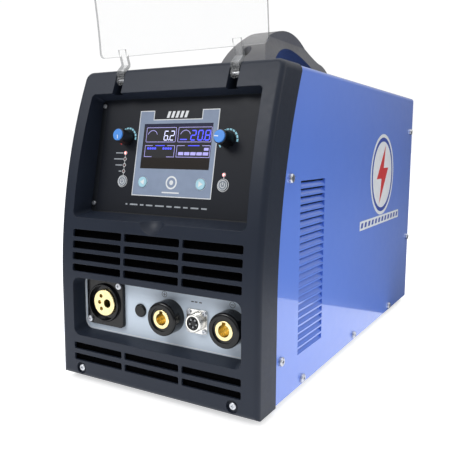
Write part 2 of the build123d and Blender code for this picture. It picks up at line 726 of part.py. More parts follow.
with BuildPart() as case_cover:
    with BuildSketch(seen_from_front(10.0)) as section:
        with Locations((0, CASE_HEIGHT / 2)):
            Rectangle(CASE_WIDTH, CASE_HEIGHT)
        fillet(section.vertices().group_by(Axis.Y)[-1], radius=BEND_RADIUS)
        with BuildSketch(seen_from_front(10.0), mode=Mode.SUBTRACT) as hollow:
            with Locations((0, (CASE_HEIGHT - SHEET) / 2)):
                Rectangle(CASE_WIDTH - 2 * SHEET, CASE_HEIGHT - SHEET)
            fillet(hollow.vertices().group_by(Axis.Y)[-1], radius=BEND_RADIUS - SHEET)
    extrude(amount=-(CASE_LENGTH - 10.0))
    add(front_cut.part, mode=Mode.SUBTRACT)
    door_y = (DOOR_Y[0] - DOOR_GAP, DOOR_Y[1] + DOOR_GAP)
    door_z = (DOOR_Z[0] - DOOR_GAP, DOOR_Z[1] + DOOR_GAP)
    block((-HALF - 5, -INNER + 5), door_y, door_z, mode=Mode.SUBTRACT)
    # louvres pressed into the right-hand side: a slot, a vane leaning in and two end walls each
    for row in range(LOUVRE_COUNT):
        low = LOUVRE_SPAN_Z[0] + row * LOUVRE_PITCH
        high = low + LOUVRE_PITCH - LOUVRE_GAP
        vane_top = high - LOUVRE_SLIT
        ends = (LOUVRE_SPAN_Y[0] + LOUVRE_END, LOUVRE_SPAN_Y[1] - LOUVRE_END)
        block((INNER - 1, HALF + 1), ends, (low + 1.2, high), mode=Mode.SUBTRACT)
        with BuildSketch(seen_from_front(LOUVRE_SPAN_Y[0])):
            with BuildLine():
                Polyline(
                    (HALF, low + 0.4),
                    (HALF - LOUVRE_DEPTH, vane_top),
                    (HALF - LOUVRE_DEPTH - LOUVRE_VANE, vane_top),
                    (INNER, low + 0.4),
                    close=True,
                )
            make_face()
        extrude(amount=-(LOUVRE_SPAN_Y[1] - LOUVRE_SPAN_Y[0]))
        for y in (LOUVRE_SPAN_Y[0], LOUVRE_SPAN_Y[1] - LOUVRE_END):
            with BuildSketch(seen_from_front(y)):
                with BuildLine():
                    Polyline(
                        (INNER + 0.5, low + 1.0),
                        (INNER + 0.5, high),
                        (HALF - LOUVRE_DEPTH - 0.5, vane_top),
                        close=True,
                    )
                make_face()
            extrude(amount=-LOUVRE_END)
    with BuildSketch(side_plane(0)):
        with Locations(*SIDE_SCREWS):
            Circle(SCREW_RADIUS)
    extrude(amount=HALF + 5, both=True, mode=Mode.SUBTRACT)
    with BuildSketch(floor_plane(CASE_HEIGHT + 1)):
        with Locations(*[(0, y) for y in HANDLE_SCREWS]):
            Circle(3.0)
    extrude(amount=-5.0, mode=Mode.SUBTRACT)

# ---- side door, hinges and latches -----------------------------------------------------------
LIP = 7.5
LATCH_SHAFT = 4.0

with BuildPart() as side_door:
    block((-HALF, -INNER), DOOR_Y, DOOR_Z)
    block((-INNER, -INNER + LIP), (DOOR_Y[0] + 1, DOOR_Y[0] + 2.5), (DOOR_Z[0] + 1, DOOR_Z[1] - 8))
    block((-INNER, -INNER + LIP), (DOOR_Y[1] - 2.5, DOOR_Y[1] - 1), (DOOR_Z[0] + 1, DOOR_Z[1] - 8))
    block((-INNER, -INNER + LIP), (DOOR_Y[0] + 1, DOOR_Y[1] - 1), (DOOR_Z[0] + 1, DOOR_Z[0] + 2.5))
    for y in LATCH_Y:
        block((-INNER, 0), (y - 22, y + 22), (DOOR_Z[0], DOOR_Z[0] + 4), mode=Mode.SUBTRACT)
    with BuildSketch(side_plane(-HALF)):
        with Locations(*[(y, LATCH_Z) for y in LATCH_Y]):
            Circle(LATCH_SHAFT + RUNNING_GAP)
    extrude(amount=SHEET, mode=Mode.SUBTRACT)


def hinge_knuckle(y, bore):
    """One rolled knuckle, 0.3 mm shorter at each end than its third of the hinge."""
    length = HINGE_LENGTH / 3 - 0.6
    with BuildSketch(seen_from_front(y + length / 2)) as ring:
        with Locations((HINGE_X, HINGE_Z)):
            Circle(KNUCKLE_RADIUS)
            Circle(bore, mode=Mode.SUBTRACT)
    extrude(ring.sketch, amount=length)


PIN_RADIUS = 0.7
THIRD = HINGE_LENGTH / 3
with BuildPart() as hinge_case_leaves:
    for centre in HINGE_CENTRES:
        span = (centre - HINGE_LENGTH / 2, centre + HINGE_LENGTH / 2)
        block((-HALF - 1, -HALF), span, (HINGE_Z + 2.4, HINGE_Z + 16))
        for y in (centre - THIRD, centre + THIRD):
            half = THIRD / 2 - 0.3
            block((-HALF - 1, -HALF), (y - half, y + half), (HINGE_Z + 1.0, HINGE_Z + 3))
            hinge_knuckle(y, PIN_RADIUS)

with BuildPart() as hinge_door_leaves:
    for centre in HINGE_CENTRES:
        span = (centre - HINGE_LENGTH / 2, centre + HINGE_LENGTH / 2)
        block((-HALF - 1, -HALF), span, (HINGE_Z - 18, HINGE_Z - 2.4))
        half = THIRD / 2 - 0.3
        block((-HALF - 1, -HALF), (centre - half, centre + half), (HINGE_Z - 3, HINGE_Z - 1.0))
        hinge_knuckle(centre, PIN_RADIUS + RUNNING_GAP)

with BuildPart() as hinge_pins:
    for centre in HINGE_CENTRES:
        with BuildSketch(seen_from_front(centre + HINGE_LENGTH / 2)):
            with Locations((HINGE_X, HINGE_Z)):
                Circle(PIN_RADIUS)
        extrude(amount=HINGE_LENGTH)


def make_latch(y):
    """A quarter-turn latch: finger knob, shaft and cam; at rest the cam lies along the door."""
    with BuildPart() as latch:
        with BuildSketch(side_plane(-HALF - 0.2)):
            with Locations((y, LATCH_Z)):
                Circle(12.0)
        extrude(amount=-1.4)
        with BuildSketch(side_plane(-HALF - 1.6)):
            with Locations((y, LATCH_Z)):
                SlotOverall(21.0, 6.0)
        extrude(amount=-1.8)
        fillet(latch.faces().sort_by(Axis.X)[0].edges(), radius=0.6)
        with BuildSketch(side_plane(-HALF - 0.5)):
            with Locations((y, LATCH_Z)):
                Circle(LATCH_SHAFT)
        extrude(amount=6.5)
        with BuildSketch(side_plane(-HALF + 4.1)):
            with Locations((y + 10.0, LATCH_Z)):
                SlotOverall(32.0, 9.0)
        extrude(amount=1.9)
    return latch


# ---- base, feet, rear panel and partition ----------------------------------------------------
FOOT_RADIUS = 16.0

with BuildPart() as base_pan:
    block((-INNER, INNER), (BEZEL_DEPTH, REAR_PLATE_AT), (0, PAN_THICKNESS))
    for side in (-1, 1):
        x = sorted((side * INNER, side * (INNER - PAN_THICKNESS)))
        block(x, (BEZEL_DEPTH, REAR_PLATE_AT), (0, PAN_FLANGE))
    for side in (-1, 1):
        x = sorted((side * (INNER - 6.0), side * INNER))
        block(x, (BEZEL_DEPTH, 63.0), (0, 60), mode=Mode.SUBTRACT)
    # two rows of air slots under the power section
    with BuildSketch(floor_plane(-1.0)):
        with Locations((62, 200), (62, 430)):
            with GridLocations(12.0, 1.0, 7, 1):
                SlotOverall(60.0, 5.0, rotation=90)
    extrude(amount=5.0, mode=Mode.SUBTRACT)
    with BuildSketch(side_plane(0)):
        with Locations(*SIDE_SCREWS):
            Circle(SCREW_RADIUS)
    extrude(amount=HALF + 5, both=True, mode=Mode.SUBTRACT)
    with BuildSketch(floor_plane(-1.0)):
        with Locations(*FEET_AT):
            Circle(SCREW_RADIUS)
    extrude(amount=5.0, mode=Mode.SUBTRACT)

with BuildPart() as feet:
    with BuildSketch(floor_plane(0)):
        with Locations(*FEET_AT):
            Circle(FOOT_RADIUS)
    extrude(amount=-FOOT_HEIGHT, taper=4.0)
    fillet(feet.faces().group_by(Axis.Z)[0].edges(), radius=1.2)
    with BuildSketch(floor_plane(-FOOT_HEIGHT)):
        with Locations(*FEET_AT):
            Circle(7.5)
    extrude(amount=FOOT_HEIGHT - FOOT_RECESS, mode=Mode.SUBTRACT)
    with BuildSketch(floor_plane(0)):
        with Locations(*FEET_AT):
            Circle(SCREW_RADIUS)
    extrude(amount=-FOOT_HEIGHT, mode=Mode.SUBTRACT)

FAN_OPENING = 57.0
SWITCH_BODY = (46.0, 48.0)
GLAND_THREAD = 10.0
GAS_THREAD = 6.5

with BuildPart() as rear_panel:
    block((-INNER, INNER), (REAR_PLATE_AT, REAR_PLATE_AT + SHEET), (0, CASE_HEIGHT - SHEET))
    flange = (REAR_PLATE_AT - REAR_FLANGE, REAR_PLATE_AT)
    for side in (-1, 1):
        x = sorted((side * INNER, side * (INNER - SHEET)))
        block(x, flange, (PAN_FLANGE + 0.5, CASE_HEIGHT - SHEET - BEND_RADIUS))
    block((-INNER + 5, INNER - 5), flange, (CASE_HEIGHT - 2 * SHEET, CASE_HEIGHT - SHEET))
    fillet(rear_panel.edges().filter_by(Axis.Y).group_by(Axis.Z)[-1].group_by(Axis.X)[0], radius=3.5)
    fillet(rear_panel.edges().filter_by(Axis.Y).group_by(Axis.Z)[-1].group_by(Axis.X)[-1], radius=3.5)
    with BuildSketch(REAR_SEEN):
        with Locations((-FAN_AT[0], FAN_AT[1])):
            Circle(FAN_OPENING)
        with Locations(*FAN_SCREWS):
            Circle(SCREW_RADIUS)
        with Locations((-SWITCH_AT[0], SWITCH_AT[1])):
            Rectangle(*SWITCH_BODY)
        with Locations((-GLAND_AT[0], GLAND_AT[1])):
            Circle(GLAND_THREAD)
        with Locations((-GAS_AT[0], GAS_AT[1])):
            Circle(GAS_THREAD)
        with Locations((-GAS_AT[0], 240)):
            with GridLocations(1.0, 14.0, 1, 8):
                SlotOverall(70.0, 6.0)
    extrude(amount=-SHEET, mode=Mode.SUBTRACT)
    with BuildSketch(side_plane(0)):
        with Locations(*SIDE_SCREWS):
            Circle(SCREW_RADIUS)
    extrude(amount=HALF + 5, both=True, mode=Mode.SUBTRACT)

with BuildPart() as centre_partition:
    with BuildSketch(side_plane(PARTITION_X - SHEET)):
        with BuildLine():
            near = FRONT_RADIUS - 75.0
            high = CASE_HEIGHT - SHEET
            Line((75.0, PAN_THICKNESS), (75.0, STRAIGHT_HEIGHT))
            arc_between(STRAIGHT_HEIGHT, high, near)
            Line((arc_depth(high, near), high), (555.0, high))
            Line((555.0, high), (555.0, PAN_THICKNESS))
            Line((555.0, PAN_THICKNESS), (75.0, PAN_THICKNESS))
        make_face()
    extrude(amount=SHEET)
    block((PARTITION_X, PARTITION_X + 10), (75.0, 555.0), (PAN_THICKNESS, PAN_THICKNESS + SHEET))
    with BuildSketch(side_plane(PARTITION_X - SHEET)):
        with Locations((FEED_AT, DRIVE_Z)):
            Circle(32.0)
    extrude(amount=SHEET, mode=Mode.SUBTRACT)

# ---- rear fittings ---------------------------------------------------------------------------
FAN_PLANE = Plane(
    origin=(FAN_AT[0], FRONT + REAR_PLATE_AT, BASE + FAN_AT[1]), x_dir=(-1, 0, 0), z_dir=(0, 1, 0)
)
FAN_BORE = 56.5
FAN_AXLE = 3.0
FAN_HUB = 20.0

with BuildPart() as fan_frame:
    with BuildSketch(FAN_PLANE):
        RectangleRounded(FAN_SIZE, FAN_SIZE, 5.0)
        Circle(FAN_BORE, mode=Mode.SUBTRACT)
        with GridLocations(FAN_SCREW_PITCH, FAN_SCREW_PITCH, 2, 2):
            Circle(SCREW_RADIUS, mode=Mode.SUBTRACT)
    extrude(amount=-FAN_DEPTH)
    with BuildSketch(FAN_PLANE.offset(-FAN_DEPTH)):
        Circle(FAN_HUB + 2.0)
        with PolarLocations(39.0, 4, start_angle=20):
            Rectangle(38.0, 5.0)
    extrude(amount=4.0)
    with BuildSketch(FAN_PLANE.offset(-FAN_DEPTH + 4.0)):
        Circle(FAN_AXLE)
    extrude(amount=22.0)

FAN_BLADES = 7
FAN_PITCH_ANGLE = 38.0
with BuildPart() as fan_rotor:
    with BuildSketch(FAN_PLANE.offset(-FAN_DEPTH + 5.0)):
        Circle(FAN_HUB)
    extrude(amount=26.0)
    fillet(fan_rotor.faces().sort_by(Axis.Y)[-1].edges(), radius=2.0)
    for blade in range(FAN_BLADES):
        angle = math.radians(blade * 360.0 / FAN_BLADES)
        outward = Vector(math.cos(angle), 0, math.sin(angle))
        root = FAN_PLANE.origin + Vector(0, -FAN_DEPTH + 18.0, 0) + outward * (FAN_HUB - 2.0)
        with BuildSketch(Plane(origin=root, x_dir=(0, 1, 0), z_dir=outward)):
            Rectangle(26.0, 1.8, rotation=FAN_PITCH_ANGLE)
        extrude(amount=53.5 - FAN_HUB + 2.0)
    with BuildSketch(FAN_PLANE.offset(-FAN_DEPTH)):
        Circle(FAN_AXLE + RUNNING_GAP)
    extrude(amount=27.0, mode=Mode.SUBTRACT)

GUARD_BAR = 2.4
GUARD_RINGS = (54.0, 45.0, 36.0, 27.0, 18.0)
with BuildPart() as fan_guard:
    spoke_length = FAN_SCREW_PITCH * math.sqrt(2) - 6.0
    with BuildSketch(FAN_PLANE.offset(SHEET)):
        for ring_radius in GUARD_RINGS:
            Circle(ring_radius + GUARD_BAR / 2)
            Circle(ring_radius - GUARD_BAR / 2, mode=Mode.SUBTRACT)
        Circle(9.0)
        for angle in (45, 135):
            Rectangle(spoke_length, 3.0, rotation=angle)
        with GridLocations(FAN_SCREW_PITCH, FAN_SCREW_PITCH, 2, 2):
            Circle(5.0)
            Circle(SCREW_RADIUS, mode=Mode.SUBTRACT)
    extrude(amount=GUARD_EYE)

SWITCH_SEEN = Plane(
    origin=(SWITCH_AT[0], REAR_FACE, BASE + SWITCH_AT[1]), x_dir=(-1, 0, 0), z_dir=(0, 1, 0)
)
LEVER_PIVOT = -3.0          # lever axle, in from the panel's outside face
LEVER_REST = -25.0
LEVER_AXLE = 5.0
with BuildPart() as power_switch_body:
    with BuildSketch(SWITCH_SEEN.offset(-62.0)):
        Rectangle(*SWITCH_BODY)
    extrude(amount=62.0)
    with BuildSketch(SWITCH_SEEN):
        RectangleRounded(54.0, 56.0, 3.0)
    extrude(amount=3.0)
    chamfer(power_switch_body.faces().sort_by(Axis.Y)[-1].edges(), length=0.8)
    with BuildSketch(SWITCH_SEEN.offset(3.0)):
        Rectangle(20.0, 20.0)
    extrude(amount=-13.0, mode=Mode.SUBTRACT)

with BuildPart() as power_switch_lever:
    pivot = SWITCH_SEEN.origin + Vector(0, LEVER_PIVOT, 0)
    with BuildSketch(Plane(origin=pivot, x_dir=(0, 1, 0), z_dir=(1, 0, 0))):
        Circle(LEVER_AXLE)
    extrude(amount=9.0, both=True)
    rest = math.radians(LEVER_REST)
    along = Vector(0, math.cos(rest), math.sin(rest))
    with BuildSketch(Plane(origin=pivot, x_dir=(1, 0, 0), z_dir=along)):
        RectangleRounded(17.0, 5.0, 1.5)
    extrude(amount=19.0, taper=1.5)

with BuildPart() as mains_gland:
    gland = Plane(
        origin=(GLAND_AT[0], REAR_FACE, BASE + GLAND_AT[1]), x_dir=(-1, 0, 0), z_dir=(0, 1, 0)
    )
    with BuildSketch(gland):
        RegularPolygon(14.0, 6)
    extrude(amount=5.0)
    with BuildSketch(gland.offset(5.0)):
        Circle(12.0)
    extrude(amount=12.0)
    fillet(mains_gland.faces().sort_by(Axis.Y)[-1].edges(), radius=3.5)
    with BuildSketch(gland):
        Circle(GLAND_THREAD)
    extrude(amount=-14.0)
    with BuildSketch(gland.offset(-SHEET)):
        RegularPolygon(14.0, 6)
    extrude(amount=-4.0)
    with BuildSketch(gland.offset(30.0)):
        Circle(6.5)
    extrude(amount=-60.0, mode=Mode.SUBTRACT)

GAS_SPIGOT = 4.0
GAS_SEEN = Plane(origin=(GAS_AT[0], REAR_FACE, BASE + GAS_AT[1]), x_dir=(-1, 0, 0), z_dir=(0, 1, 0))
GAS_REACH = CASE_LENGTH + REAR_FITTINGS - REAR_PLATE_AT - SHEET
with BuildPart() as gas_inlet:
    with BuildSketch(GAS_SEEN):
        RegularPolygon(10.5, 6)
    extrude(amount=8.0)
    with BuildSketch(GAS_SEEN.offset(8.0)):
        Circle(GAS_SPIGOT)
    extrude(amount=GAS_REACH - 8.0)
    chamfer(gas_inlet.faces().sort_by(Axis.Y)[-1].edges(), length=0.5)
    with BuildSketch(GAS_SEEN):
        Circle(GAS_THREAD)
    extrude(amount=-16.0)
    with BuildSketch(GAS_SEEN.offset(GAS_REACH)):
        Circle(2.4)
    extrude(amount=-60.0, mode=Mode.SUBTRACT)

with BuildPart() as gas_valve:
    valve_back = REAR_PLATE_AT - 16.0 + SHEET
    block(
        (GAS_AT[0] - 15, GAS_AT[0] + 15),
        (valve_back - 28, valve_back),
        (GAS_AT[1] - 13, GAS_AT[1] + 13),
    )
    block(
        (GAS_AT[0] - 13, GAS_AT[0] + 13),
        (valve_back - 27, valve_back - 3),
        (GAS_AT[1] + 13, GAS_AT[1] + 48),
    )
    block(
        (GAS_AT[0] - 10, GAS_AT[0] + 10),
        (valve_back - 24, valve_back - 6),
        (PAN_THICKNESS, GAS_AT[1] - 13),
    )

# ---- carrying handle -------------------------------------------------------------------------
GRIP_HALF = 18.0
HANDLE_FOOT_HALF = 35.0

with BuildPart() as handle_width:
    with BuildSketch(seen_from_front(0)):
        with BuildLine():
            right = Spline(
                (HANDLE_FOOT_HALF, CASE_HEIGHT),
                (HANDLE_FOOT_HALF - 1.5, CASE_HEIGHT + 22),
                (25.0, CASE_HEIGHT + 45),
                (GRIP_HALF, CASE_HEIGHT + 62),
                tangents=[(0, 1), (-0.3, 1)],
            )
            Line((GRIP_HALF, CASE_HEIGHT + 62), (GRIP_HALF, CASE_HEIGHT + 90))
            Line((GRIP_HALF, CASE_HEIGHT + 90), (0, CASE_HEIGHT + 90))
            Line((0, CASE_HEIGHT + 90), (0, CASE_HEIGHT))
            Line((0, CASE_HEIGHT), (HANDLE_FOOT_HALF, CASE_HEIGHT))
        make_face()
        mirror(about=Plane.YZ)
    extrude(amount=-CASE_LENGTH)

with BuildPart() as carry_handle:
    with BuildSketch(side_plane(0)):
        with BuildLine():
            Spline(
                (191.0, CASE_HEIGHT),
                (217.0, CASE_HEIGHT + 45),
                (284.0, CASE_HEIGHT + 75.5),
                (350.0, CASE_HEIGHT + 68),
                (400.0, CASE_HEIGHT + 44.5),
                (447.0, CASE_HEIGHT),
                tangents=[(0.35, 1), (0.55, -1)],
            )
            Line((447.0, CASE_HEIGHT), (404.0, CASE_HEIGHT))
            Spline(
                (404.0, CASE_HEIGHT),
                (356.0, CASE_HEIGHT + 35),
                (300.0, CASE_HEIGHT + 52),
                (246.0, CASE_HEIGHT + 37.5),
                (214.0, CASE_HEIGHT),
                tangents=[(-0.9, 1), (-0.35, -1)],
            )
            Line((214.0, CASE_HEIGHT), (191.0, CASE_HEIGHT))
        make_face()
    extrude(amount=HANDLE_FOOT_HALF + 2, both=True)
    add(handle_width.part, mode=Mode.INTERSECT)
    # pads under the two feet that carry the fixing screws
    for y in HANDLE_SCREWS:
        block((-20, 20), (y - 10, y + 10), (CASE_HEIGHT, CASE_HEIGHT + HANDLE_SEAT))
    for y in HANDLE_SCREWS:
        with BuildSketch(floor_plane(CASE_HEIGHT + HANDLE_SEAT)):
            with Locations((0, y)):
                Circle(6.0)
        extrude(amount=60.0, mode=Mode.SUBTRACT)
        with BuildSketch(floor_plane(CASE_HEIGHT)):
            with Locations((0, y)):
                Circle(3.0)
        extrude(amount=HANDLE_SEAT, mode=Mode.SUBTRACT)

# ---- wire feeder in the left-hand compartment ------------------------------------------------
SPINDLE_RADIUS = 8.0
HUB_RADIUS = 25.0
SPOOL_END_X = -114.0

with BuildPart() as spool_spindle:
    with BuildSketch(side_plane(PARTITION_X - SHEET)):
        with Locations(SPOOL_AT):
            Circle(28.0)
    extrude(amount=-4.0)
    with BuildSketch(side_plane(PARTITION_X - SHEET)):
        with Locations(SPOOL_AT):
            Circle(SPINDLE_RADIUS)
    extrude(amount=SPOOL_END_X - PARTITION_X + SHEET)
    with BuildSketch(side_plane(SPOOL_END_X)):
        with Locations(SPOOL_AT):
            RegularPolygon(15.0, 6)
    extrude(amount=-6.0)

with BuildPart() as spool_hub:
    with BuildSketch(side_plane(PARTITION_X - 8.0)):
        with Locations(SPOOL_AT):
            Circle(50.0)
    extrude(amount=-4.0)
    with BuildSketch(side_plane(PARTITION_X - 12.0)):
        with Locations(SPOOL_AT):
            Circle(HUB_RADIUS)
    extrude(amount=SPOOL_END_X + 1.0 - PARTITION_X + 12.0)
    chamfer(spool_hub.faces().sort_by(Axis.X)[0].edges(), length=2.0)
    with BuildSketch(side_plane(PARTITION_X - 12.0)):
        with Locations((SPOOL_AT[0], SPOOL_AT[1] + 42.0)):
            Circle(4.5)
    extrude(amount=-14.0)
    with BuildSketch(side_plane(0)):
        with Locations(SPOOL_AT):
            Circle(SPINDLE_RADIUS + RUNNING_GAP)
    extrude(amount=-HALF, mode=Mode.SUBTRACT)

FEEDER_X = (-64.0, -58.0)
ARM_PIVOT = (138.0, 114.0)
TENSION_PIVOT = (214.0, 90.0)
PIVOT_RADIUS = 3.0
with BuildPart() as feeder_plate:
    block(FEEDER_X, (98.0, 244.0), (46.0, 136.0))
    fillet(feeder_plate.edges().filter_by(Axis.X), radius=6.0)
    with BuildSketch(side_plane(FEEDER_X[1])):
        with Locations((110, 58), (232, 58), (110, 124), (232, 124)):
            Circle(5.0)
    extrude(amount=PARTITION_X - SHEET - FEEDER_X[1])
    for y in ((104.0, 128.0), (230.0, 242.0)):
        block((WIRE_X - 6, FEEDER_X[0]), y, (WIRE_Z - 6, WIRE_Z + 6))
    with BuildSketch(seen_from_front(70.0)):
        with Locations((WIRE_X, WIRE_Z)):
            Circle(3.0)
    extrude(amount=-40.0)
    with BuildSketch(side_plane(FEEDER_X[0])):
        with Locations(ARM_PIVOT, TENSION_PIVOT):
            Circle(PIVOT_RADIUS)
    extrude(amount=-24.0)
    with BuildSketch(seen_from_front(60.0)):
        with Locations((WIRE_X, WIRE_Z)):
            Circle(1.2)
    extrude(amount=-200.0, mode=Mode.SUBTRACT)
    with BuildSketch(side_plane(FEEDER_X[0])):
        with Locations((FEED_AT, DRIVE_Z)):
            Circle(6.5)
    extrude(amount=FEEDER_X[1] - FEEDER_X[0], mode=Mode.SUBTRACT)

SHAFT_RADIUS = 5.0
MOTOR_RADIUS = 29.0
with BuildPart() as feed_motor:
    with BuildSketch(side_plane(FEEDER_X[1])):
        with Locations((FEED_AT, DRIVE_Z)):
            Circle(MOTOR_RADIUS)
    extrude(amount=92.0)
    fillet(feed_motor.faces().sort_by(Axis.X)[-1].edges(), radius=3.0)
    with BuildSketch(side_plane(FEEDER_X[1])):
        with Locations((FEED_AT, DRIVE_Z)):
            Circle(SHAFT_RADIUS + RUNNING_GAP)
    extrude(amount=14.0, mode=Mode.SUBTRACT)

ROLL_X = (WIRE_X - ROLL_WIDTH / 2, WIRE_X + ROLL_WIDTH / 2)
with BuildPart() as drive_roll:
    with BuildSketch(side_plane(ROLL_X[0])):
        with Locations((FEED_AT, DRIVE_Z)):
            Circle(ROLL_RADIUS)
    extrude(amount=ROLL_WIDTH)
    chamfer(drive_roll.edges().filter_by(GeomType.CIRCLE), length=0.8)
    with BuildSketch(side_plane(ROLL_X[0] - 8.0)):
        with Locations((FEED_AT, DRIVE_Z)):
            Circle(SHAFT_RADIUS)
    extrude(amount=8.0 + ROLL_X[1] - ROLL_X[0] + 24.0)
    with BuildSketch(side_plane(ROLL_X[0] - 8.0)):
        with Locations((FEED_AT, DRIVE_Z)):
            RegularPolygon(10.0, 8)
    extrude(amount=7.0)

ARM_X = ((-87.0, -83.0), (-68.0, -64.5))
ARM_WEB_Z = (119.5, 125.0)
with BuildPart() as pressure_arm:
    for x in ARM_X:
        block(x, (131.0, 196.0), (98.0, ARM_WEB_Z[1]))
    block((ARM_X[0][0], ARM_X[1][1]), (131.0, 224.0), ARM_WEB_Z)
    with BuildSketch(side_plane(ARM_X[0][0])):
        with Locations((FEED_AT, PRESSURE_Z)):
            Circle(4.0)
    extrude(amount=ARM_X[1][1] - ARM_X[0][0])
    with BuildSketch(side_plane(ARM_X[0][0])):
        with Locations(ARM_PIVOT):
            Circle(PIVOT_RADIUS + RUNNING_GAP)
    extrude(amount=ARM_X[1][1] - ARM_X[0][0], mode=Mode.SUBTRACT)
    block((WIRE_X - 4.5, WIRE_X + 4.5), (206.0, 230.0), (110, 130), mode=Mode.SUBTRACT)

with BuildPart() as pressure_roll:
    with BuildSketch(side_plane(ROLL_X[0])):
        with Locations((FEED_AT, PRESSURE_Z)):
            Circle(ROLL_RADIUS)
            Circle(4.0 + RUNNING_GAP, mode=Mode.SUBTRACT)
    extrude(amount=ROLL_WIDTH)

TENSION_LEAN = 35.0
lean = math.radians(TENSION_LEAN)
TENSION = Plane(
    origin=(WIRE_X, FRONT + TENSION_PIVOT[0], BASE + TENSION_PIVOT[1]),
    x_dir=(1, 0, 0),
    z_dir=(0, math.sin(lean), math.cos(lean)),
)
with BuildPart() as tension_knob:
    with BuildSketch(side_plane(WIRE_X - 4.0)):
        with Locations(TENSION_PIVOT):
            Circle(6.0)
    extrude(amount=8.0)
    with BuildSketch(TENSION):
        Circle(3.0)
    extrude(amount=50.0)
    with BuildSketch(TENSION.offset(38.0)):
        Circle(10.0)
    extrude(amount=24.0, taper=3.0)
    fillet(tension_knob.faces().sort_by(Axis.Z)[-1].edges(), radius=1.5)
    with BuildSketch(TENSION.offset(38.0)):
        with PolarLocations(10.4, 12):
            Circle(1.1)
    extrude(amount=20.0, mode=Mode.SUBTRACT)
    with BuildSketch(side_plane(WIRE_X - 4.0)):
        with Locations(TENSION_PIVOT):
            Circle(PIVOT_RADIUS + RUNNING_GAP)
    extrude(amount=8.0, mode=Mode.SUBTRACT)

# ---- power section behind the right-hand side ------------------------------------------------
SINK_X = (8.0, 118.0)
SINK_Y = (215.0, 420.0)
SINK_TOP = 72.0
BOARD_Z = 82.0
with BuildPart() as heatsink:
    block(SINK_X, SINK_Y, (SINK_TOP - 8, SINK_TOP))
    fins = 12
    pitch = (SINK_X[1] - SINK_X[0] - 3.0) / (fins - 1)
    for fin in range(fins):
        foot = PAN_THICKNESS if fin in (0, fins - 1) else 12.0
        x = SINK_X[0] + fin * pitch
        block((x, x + 3.0), SINK_Y, (foot, SINK_TOP - 8))

with BuildPart() as power_board:
    block(SINK_X, SINK_Y, (BOARD_Z, BOARD_Z + 2))
    board_middle = ((SINK_X[0] + SINK_X[1]) / 2, (SINK_Y[0] + SINK_Y[1]) / 2)
    with BuildSketch(floor_plane(SINK_TOP)):
        with Locations(board_middle):
            with GridLocations(96.0, 190.0, 2, 2):
                Circle(4.0)
    extrude(amount=BOARD_Z - SINK_TOP)
    block((20.0, 106.0), (230.0, 262.0), (BOARD_Z + 2, BOARD_Z + 26))
    with BuildSketch(floor_plane(BOARD_Z + 2)):
        with Locations((63.0, 345.0)):
            with GridLocations(42.0, 42.0, 2, 3):
                Circle(17.0)
    extrude(amount=52.0)
    fillet(power_board.faces().group_by(Axis.Z)[-1].edges(), radius=2.0)

with BuildPart() as transformer:
    block((44.0, 120.0), (118.0, 190.0), (PAN_THICKNESS, 20.0))
    block((44.0, 120.0), (118.0, 190.0), (70.0, 88.0))
    for x in ((44.0, 58.0), (106.0, 120.0)):
        block(x, (118.0, 190.0), (20.0, 70.0))
    block((62.0, 102.0), (108.0, 200.0), (22.0, 68.0))
    fillet(transformer.edges().filter_by(Axis.X).group_by(Axis.Y)[0], radius=6.0)
    fillet(transformer.edges().filter_by(Axis.X).group_by(Axis.Y)[-1], radius=6.0)
    block((70.0, 94.0), (125.0, 183.0), (20.0, 70.0))

with BuildPart() as output_choke:
    block((30.0, 94.0), (448.0, 512.0), (PAN_THICKNESS, PAN_THICKNESS + 5))
    with Locations((62.0, FRONT + 480.0, BASE + 19.0)):
        Torus(23.0, 14.0)

# ---- write every piece -----------------------------------------------------------------------
pieces = {
    "front_bezel": front_bezel,
    "flap_pins": flap_pins,
    "clear_flap": clear_flap,
    "control_panel": control_panel,
    "panel_overlay": panel_overlay,
    "display_screen": display_screen,
    "indicator_lenses": indicator_lenses,
    "left_knob": make_knob(KNOBS[0]),
    "right_knob": make_knob(KNOBS[1]),
    "left_knob_cap": make_cap(KNOBS[0]),
    "right_knob_cap": make_cap(KNOBS[1]),
    "control_board": control_board,
    "connector_plate": connector_plate,
    "euro_flange": euro_flange,
    "euro_socket": euro_socket,
    "blanking_plug": blanking_plug,
    "socket_bodies": socket_bodies,
    "socket_contacts": socket_contacts,
    "control_socket_shell": control_socket_shell,
    "control_socket_insert": control_socket_insert,
    "small_screws": small_screws,
    "front_screws": front_screws,
    "case_screws": case_screws,
    "handle_screws": handle_screws,
    "case_cover": case_cover,
    "side_door": side_door,
    "hinge_case_leaves": hinge_case_leaves,
    "hinge_door_leaves": hinge_door_leaves,
    "hinge_pins": hinge_pins,
    "front_latch": make_latch(LATCH_Y[0]),
    "rear_latch": make_latch(LATCH_Y[1]),
    "base_pan": base_pan,
    "feet": feet,
    "rear_panel": rear_panel,
    "centre_partition": centre_partition,
    "fan_frame": fan_frame,
    "fan_rotor": fan_rotor,
    "fan_guard": fan_guard,
    "power_switch_body": power_switch_body,
    "power_switch_lever": power_switch_lever,
    "mains_gland": mains_gland,
    "gas_inlet": gas_inlet,
    "gas_valve": gas_valve,
    "carry_handle": carry_handle,
    "spool_spindle": spool_spindle,
    "spool_hub": spool_hub,
    "feeder_plate": feeder_plate,
    "feed_motor": feed_motor,
    "drive_roll": drive_roll,
    "pressure_arm": pressure_arm,
    "pressure_roll": pressure_roll,
    "tension_knob": tension_knob,
    "heatsink": heatsink,
    "power_board": power_board,
    "transformer": transformer,
    "output_choke": output_choke,
}
for name, place in KEYS.items():
    pieces[name] = make_key(place)

os.makedirs("parts", exist_ok=True)
for name, piece in pieces.items():
    keep(piece, name)
print(len(pieces), "pieces")
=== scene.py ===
"""A portable MIG welding machine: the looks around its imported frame.

Metres; +Z up, -Y is the machine's front, +X its right-hand side seen from the front.
"""

import json
import math

